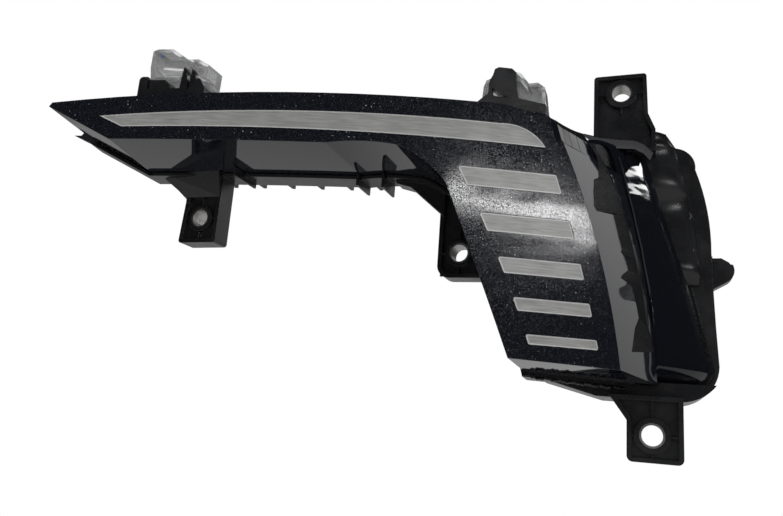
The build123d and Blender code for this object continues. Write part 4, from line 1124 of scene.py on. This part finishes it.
class LAMP_OT_tab_floors(bpy.types.Operator):
    """Add the fixing tabs' shallow floors and thin ribs, and the neck over the arm's tab."""

    bl_idname = "lamp.tab_floors"
    bl_label = "Tab floors"

    def execute(self, context):
        housing = bpy.data.materials[HOUSING_FINISH]
        for name, outline, center, radius, front_y in TAB_FLOORS:
            mesh = plate_with_hole(outline, center, radius, front_y, TAB_FLOOR_THICKNESS)
            add_piece(name, mesh, housing)
        for name, center, reach, ends, front_y in TAB_RIBS:
            add_piece(name, tab_ribs(center, reach, ends, front_y), housing)
        neck = lofted([NECK_HIGH, NECK_LOW])
        add_piece("arm_tab_neck", neck, housing)
        return {"FINISHED"}


class LAMP_OT_fixings(bpy.types.Operator):
    """Dress the metal sleeves and screws."""

    bl_idname = "lamp.fixings"
    bl_label = "Sleeves and screws"

    def execute(self, context):
        dress(SLEEVE_NODES, turned_steel("Sleeve steel"))
        dress(SCREW_NODES, turned_steel("Screw steel", (0.42, 0.42, 0.43), 0.35))
        dress(("connector_pins",), turned_steel("Tinned blades", (0.62, 0.6, 0.55), 0.25))
        return {"FINISHED"}


class LAMP_OT_clear_blocks(bpy.types.Operator):
    """Dress the clear locating blocks and add the dab of blue paint."""

    bl_idname = "lamp.clear_blocks"
    bl_label = "Clear blocks"

    def execute(self, context):
        dress(CLEAR_NODES, clear_plastic("Clear plastic", (0.9, 0.905, 0.905), 0.86))
        paint = plain_plastic("Blue paint", (0.02, 0.09, 0.33), 0.45)
        x, depth, z = DAB_PLACE
        dab = blob(on_face(x, z, depth), DAB_SIZE, 3, 0.25)
        add_piece("paint_dab", dab, paint, True)
        return {"FINISHED"}


class LAMP_OT_sealant(bpy.types.Operator):
    """Dress the sealant, the gasket and the glue."""

    bl_idname = "lamp.sealant"
    bl_label = "Sealant"

    def execute(self, context):
        sealant = sealant_black("Cured sealant")
        dress(SEALANT_NODES, sealant)
        mesh = tube(foot_route(), trim().bead_radius, BEAD_SIDES)
        add_piece("foot_seam_bead", mesh, sealant, True)
        mesh = tube(glue_route(), GLUE_RADIUS, GLUE_SIDES)
        add_piece("cover_glue", mesh, sealant, True)
        brown = plain_plastic("Glue residue", (0.1, 0.085, 0.07), 0.6, 500.0)
        add_piece("glue_lump", blob(LUMP_PLACE, LUMP_SIZE, 4, 0.35), brown, True)
        dress(("lid_seal",), soft_rubber("Gasket rubber", (0.02, 0.02, 0.02)))
        return {"FINISHED"}


class LAMP_OT_inside(bpy.types.Operator):
    """Dress the pieces inside the lamp."""

    bl_idname = "lamp.inside"
    bl_label = "Inside"

    def execute(self, context):
        dress(GUIDE_NODES, clear_plastic("Guide plastic"))
        dress(REFLECTOR_NODES, plain_plastic("Reflector white", (0.75, 0.75, 0.73), 0.3))
        dress(BOARD_NODES, circuit_board("Circuit board"))
        dress(EMITTER_NODES, plain_plastic("Emitter yellow", (0.75, 0.55, 0.12), 0.25))
        dress(("heat_sink",), rough_metal("Cast alloy", (0.56, 0.56, 0.57)))
        dress(("board_jumper",), plain_plastic("Flexible film", (0.4, 0.17, 0.035), 0.35))
        dress(("driver_parts",), plain_plastic("Driver parts", (0.02, 0.02, 0.022), 0.35))
        return {"FINISHED"}


def background_share(tree):
    """Whether the camera sees a ray, also through clear plastic, and whether it is mirrored."""
    path = tree.nodes.new("ShaderNodeLightPath")
    direct, through = path.outputs["Is Camera Ray"], path.outputs["Is Transmission Ray"]
    seen = math_node(tree, "MAXIMUM", direct, through, True)
    return seen, path.outputs["Is Glossy Ray"]


def build_world():
    """White for the camera, a lit backdrop behind the lamp for gloss, and even room light."""
    world = bpy.data.worlds.new("Studio")
    bpy.context.scene.world = world
    world.use_nodes = True
    tree = world.node_tree
    shader = tree.nodes["Background"]
    coordinates = tree.nodes.new("ShaderNodeTexCoord")
    split = tree.nodes.new("ShaderNodeSeparateXYZ")
    tree.links.new(coordinates.outputs["Generated"], split.inputs["Vector"])
    behind = spread(tree, split.outputs["Y"], *BACKDROP_Y)
    low = spread(tree, split.outputs["Z"], *BACKDROP_LOW_Z)
    outboard = spread(tree, split.outputs["X"], *BACKDROP_OUTBOARD_X)
    level = spread(tree, split.outputs["Z"], *BACKDROP_RISE_Z, *BACKDROP_RISE_LEVELS)
    inboard = spread(tree, split.outputs["X"], *BACKDROP_INBOARD_X, *BACKDROP_INBOARD_LEVELS)
    card = math_node(tree, "MAXIMUM", low, outboard)
    card = math_node(tree, "MULTIPLY", card, level)
    card = math_node(tree, "MULTIPLY", card, inboard)
    backdrop = math_node(tree, "MULTIPLY", behind, card)
    backdrop = math_node(tree, "MAXIMUM", backdrop, ROOM_IN_GLOSS)
    seen, glossy = background_share(tree)
    room = math_node(tree, "SUBTRACT", 1.0, seen)
    room = math_node(tree, "MULTIPLY", room, studio().room_level)
    plain = math_node(tree, "MAXIMUM", seen, room)
    gloss_part = math_node(tree, "MULTIPLY", glossy, backdrop)
    other = math_node(tree, "SUBTRACT", 1.0, glossy)
    other = math_node(tree, "MULTIPLY", other, plain)
    strength = math_node(tree, "ADD", gloss_part, other)
    shader.inputs["Color"].default_value = WHITE
    tree.links.new(strength, shader.inputs["Strength"])


def floor_material():
    """A pale floor that the camera sees as white and the gloss surfaces as a light grey."""
    material, tree, shader = new_material("Floor", (0.8, 0.8, 0.8), 0.9)
    seen, glossy = background_share(tree)
    glow = tree.nodes.new("ShaderNodeEmission")
    level = math_node(tree, "MULTIPLY", glossy, studio().floor_glow)
    tree.links.new(math_node(tree, "MAXIMUM", seen, level), glow.inputs["Strength"])
    pick = tree.nodes.new("ShaderNodeMixShader")
    tree.links.new(math_node(tree, "MAXIMUM", seen, glossy), pick.inputs["Fac"])
    tree.links.new(shader.outputs["BSDF"], pick.inputs[1])
    tree.links.new(glow.outputs["Emission"], pick.inputs[2])
    tree.links.new(pick.outputs["Shader"], tree.nodes["Material Output"].inputs["Surface"])
    return material


def build_floor():
    """The plain floor under the lamp."""
    mesh = bmesh.new()
    bmesh.ops.create_grid(mesh, x_segments=1, y_segments=1, size=FLOOR_SIZE)
    low = CAD_BOX[0][2]
    bmesh.ops.translate(mesh, verts=mesh.verts, vec=(0.0, 0.0, low - studio().floor_drop))
    data = bpy.data.meshes.new("floor")
    mesh.to_mesh(data)
    mesh.free()
    data.materials.append(floor_material())
    floor = bpy.data.objects.new("floor", data)
    bpy.context.scene.collection.objects.link(floor)


def soft_light(name, place, target, size, power, glossy=True):
    """A rectangular soft light that looks at a target."""
    data = bpy.data.lights.new(name, "AREA")
    data.shape = "RECTANGLE"
    data.size, data.size_y = size
    data.energy = power
    light = bpy.data.objects.new(name, data)
    aim = Vector(target) - Vector(place)
    turn = aim.to_track_quat("-Z", "Y").to_matrix().to_4x4()
    light.matrix_world = Matrix.Translation(place) @ turn
    light.visible_camera = False
    light.visible_glossy = glossy
    bpy.context.scene.collection.objects.link(light)
    return light


def mirror_place(x, z, distance):
    """Where a lamp stands to be seen in the front surface at an X and Z."""
    spot = Vector(on_face(x, z))
    center_x, center_y = face_center()
    normal = Vector((x - center_x, spot.y - center_y, 0.0)).normalized()
    ray = (spot - Vector(CAMERA_PLACE)).normalized()
    return spot + (ray - 2.0 * ray.dot(normal) * normal) * distance


def strip_light(name, first, last, target, height, power):
    """A long narrow light between two places, turned to a target."""
    along = (last - first).normalized()
    middle = (first + last) / 2
    across = (middle - Vector(target)).cross(along).normalized()
    back = along.cross(across)
    light = soft_light(name, middle, target, ((last - first).length, height), power)
    light.matrix_world = (
        Matrix.Translation(middle) @ Matrix((along, across, back)).transposed().to_4x4()
    )


def build_lights():
    """Large soft lights that the gloss doesn't show, and narrow ones that it does."""
    soft_light("key", KEY_PLACE, LAMP_MIDDLE, KEY_SIZE, studio().key_power, False)
    soft_light("fill", FILL_PLACE, LAMP_MIDDLE, FILL_SIZE, FILL_POWER, False)
    for name, first, last, height, power in FACE_STRIPS:
        ends = [mirror_place(x, z, FACE_STRIP_DISTANCE) for x, z in (first, last)]
        strip_light(name, ends[0], ends[1], on_face(*first), height, power)
    soft_light("brow card", BROW_CARD_PLACE, BROW_CARD_TARGET, BROW_CARD_SIZE, BROW_CARD_POWER)
    for name, first, last, height, power in COVER_STRIPS:
        strip_light(name, Vector(first), Vector(last), COVER_SPOT, height, power)


def build_camera():
    """The camera at the photograph's place and angle."""
    data = bpy.data.cameras.new("camera")
    data.sensor_fit = "HORIZONTAL"
    data.sensor_width = SENSOR_MM
    data.lens = SENSOR_MM * FOCAL_PX / IMAGE_WIDTH_PX
    data.clip_start = CLIP_NEAR
    data.clip_end = CLIP_FAR
    camera = bpy.data.objects.new("camera", data)
    axes = Matrix((CAMERA_RIGHT, CAMERA_UP, CAMERA_BACK)).transposed().to_4x4()
    camera.matrix_world = Matrix.Translation(CAMERA_PLACE) @ axes
    bpy.context.scene.collection.objects.link(camera)
    bpy.context.scene.camera = camera


class LAMP_OT_stage(bpy.types.Operator):
    """Build the floor, the studio light and the camera."""

    bl_idname = "lamp.stage"
    bl_label = "Studio"

    def execute(self, context):
        context.scene.view_settings.view_transform = "Standard"
        build_world()
        build_floor()
        build_lights()
        build_camera()
        return {"FINISHED"}


class LAMP_PT_panel(bpy.types.Panel):
    """Lists the steps that dress the lamp."""

    bl_idname = "LAMP_PT_panel"
    bl_label = "Daytime running light"
    bl_space_type = "VIEW_3D"
    bl_region_type = "UI"
    bl_category = "Lamp"

    def draw(self, context):
        for step in STEPS:
            self.layout.operator(step.bl_idname)
        for group in (finish(), trim(), studio()):
            for label in group.__annotations__:
                self.layout.prop(group, label)


STEPS = (
    LAMP_OT_mask,
    LAMP_OT_windows,
    LAMP_OT_housing,
    LAMP_OT_shoulder,
    LAMP_OT_tab_floors,
    LAMP_OT_fixings,
    LAMP_OT_clear_blocks,
    LAMP_OT_sealant,
    LAMP_OT_inside,
    LAMP_OT_stage,
)
GROUPS = (LampFinish, LampTrim, LampStudio)


def register():
    """Adds the settings, the steps and the panel."""
    for item in GROUPS + STEPS + (LAMP_PT_panel,):
        bpy.utils.register_class(item)
    bpy.types.Scene.lamp_finish = PointerProperty(type=LampFinish)
    bpy.types.Scene.lamp_trim = PointerProperty(type=LampTrim)
    bpy.types.Scene.lamp_studio = PointerProperty(type=LampStudio)


def unregister():
    """Takes the settings, the steps and the panel away."""
    del bpy.types.Scene.lamp_studio
    del bpy.types.Scene.lamp_trim
    del bpy.types.Scene.lamp_finish
    for item in reversed(GROUPS + STEPS + (LAMP_PT_panel,)):
        bpy.utils.unregister_class(item)


def main():
    """Runs every step."""
    register()
    bpy.ops.lamp.mask()
    bpy.ops.lamp.windows()
    bpy.ops.lamp.housing()
    bpy.ops.lamp.shoulder()
    bpy.ops.lamp.tab_floors()
    bpy.ops.lamp.fixings()
    bpy.ops.lamp.clear_blocks()
    bpy.ops.lamp.sealant()
    bpy.ops.lamp.inside()
    bpy.ops.lamp.stage()


if __name__ == "__main__":
    main()
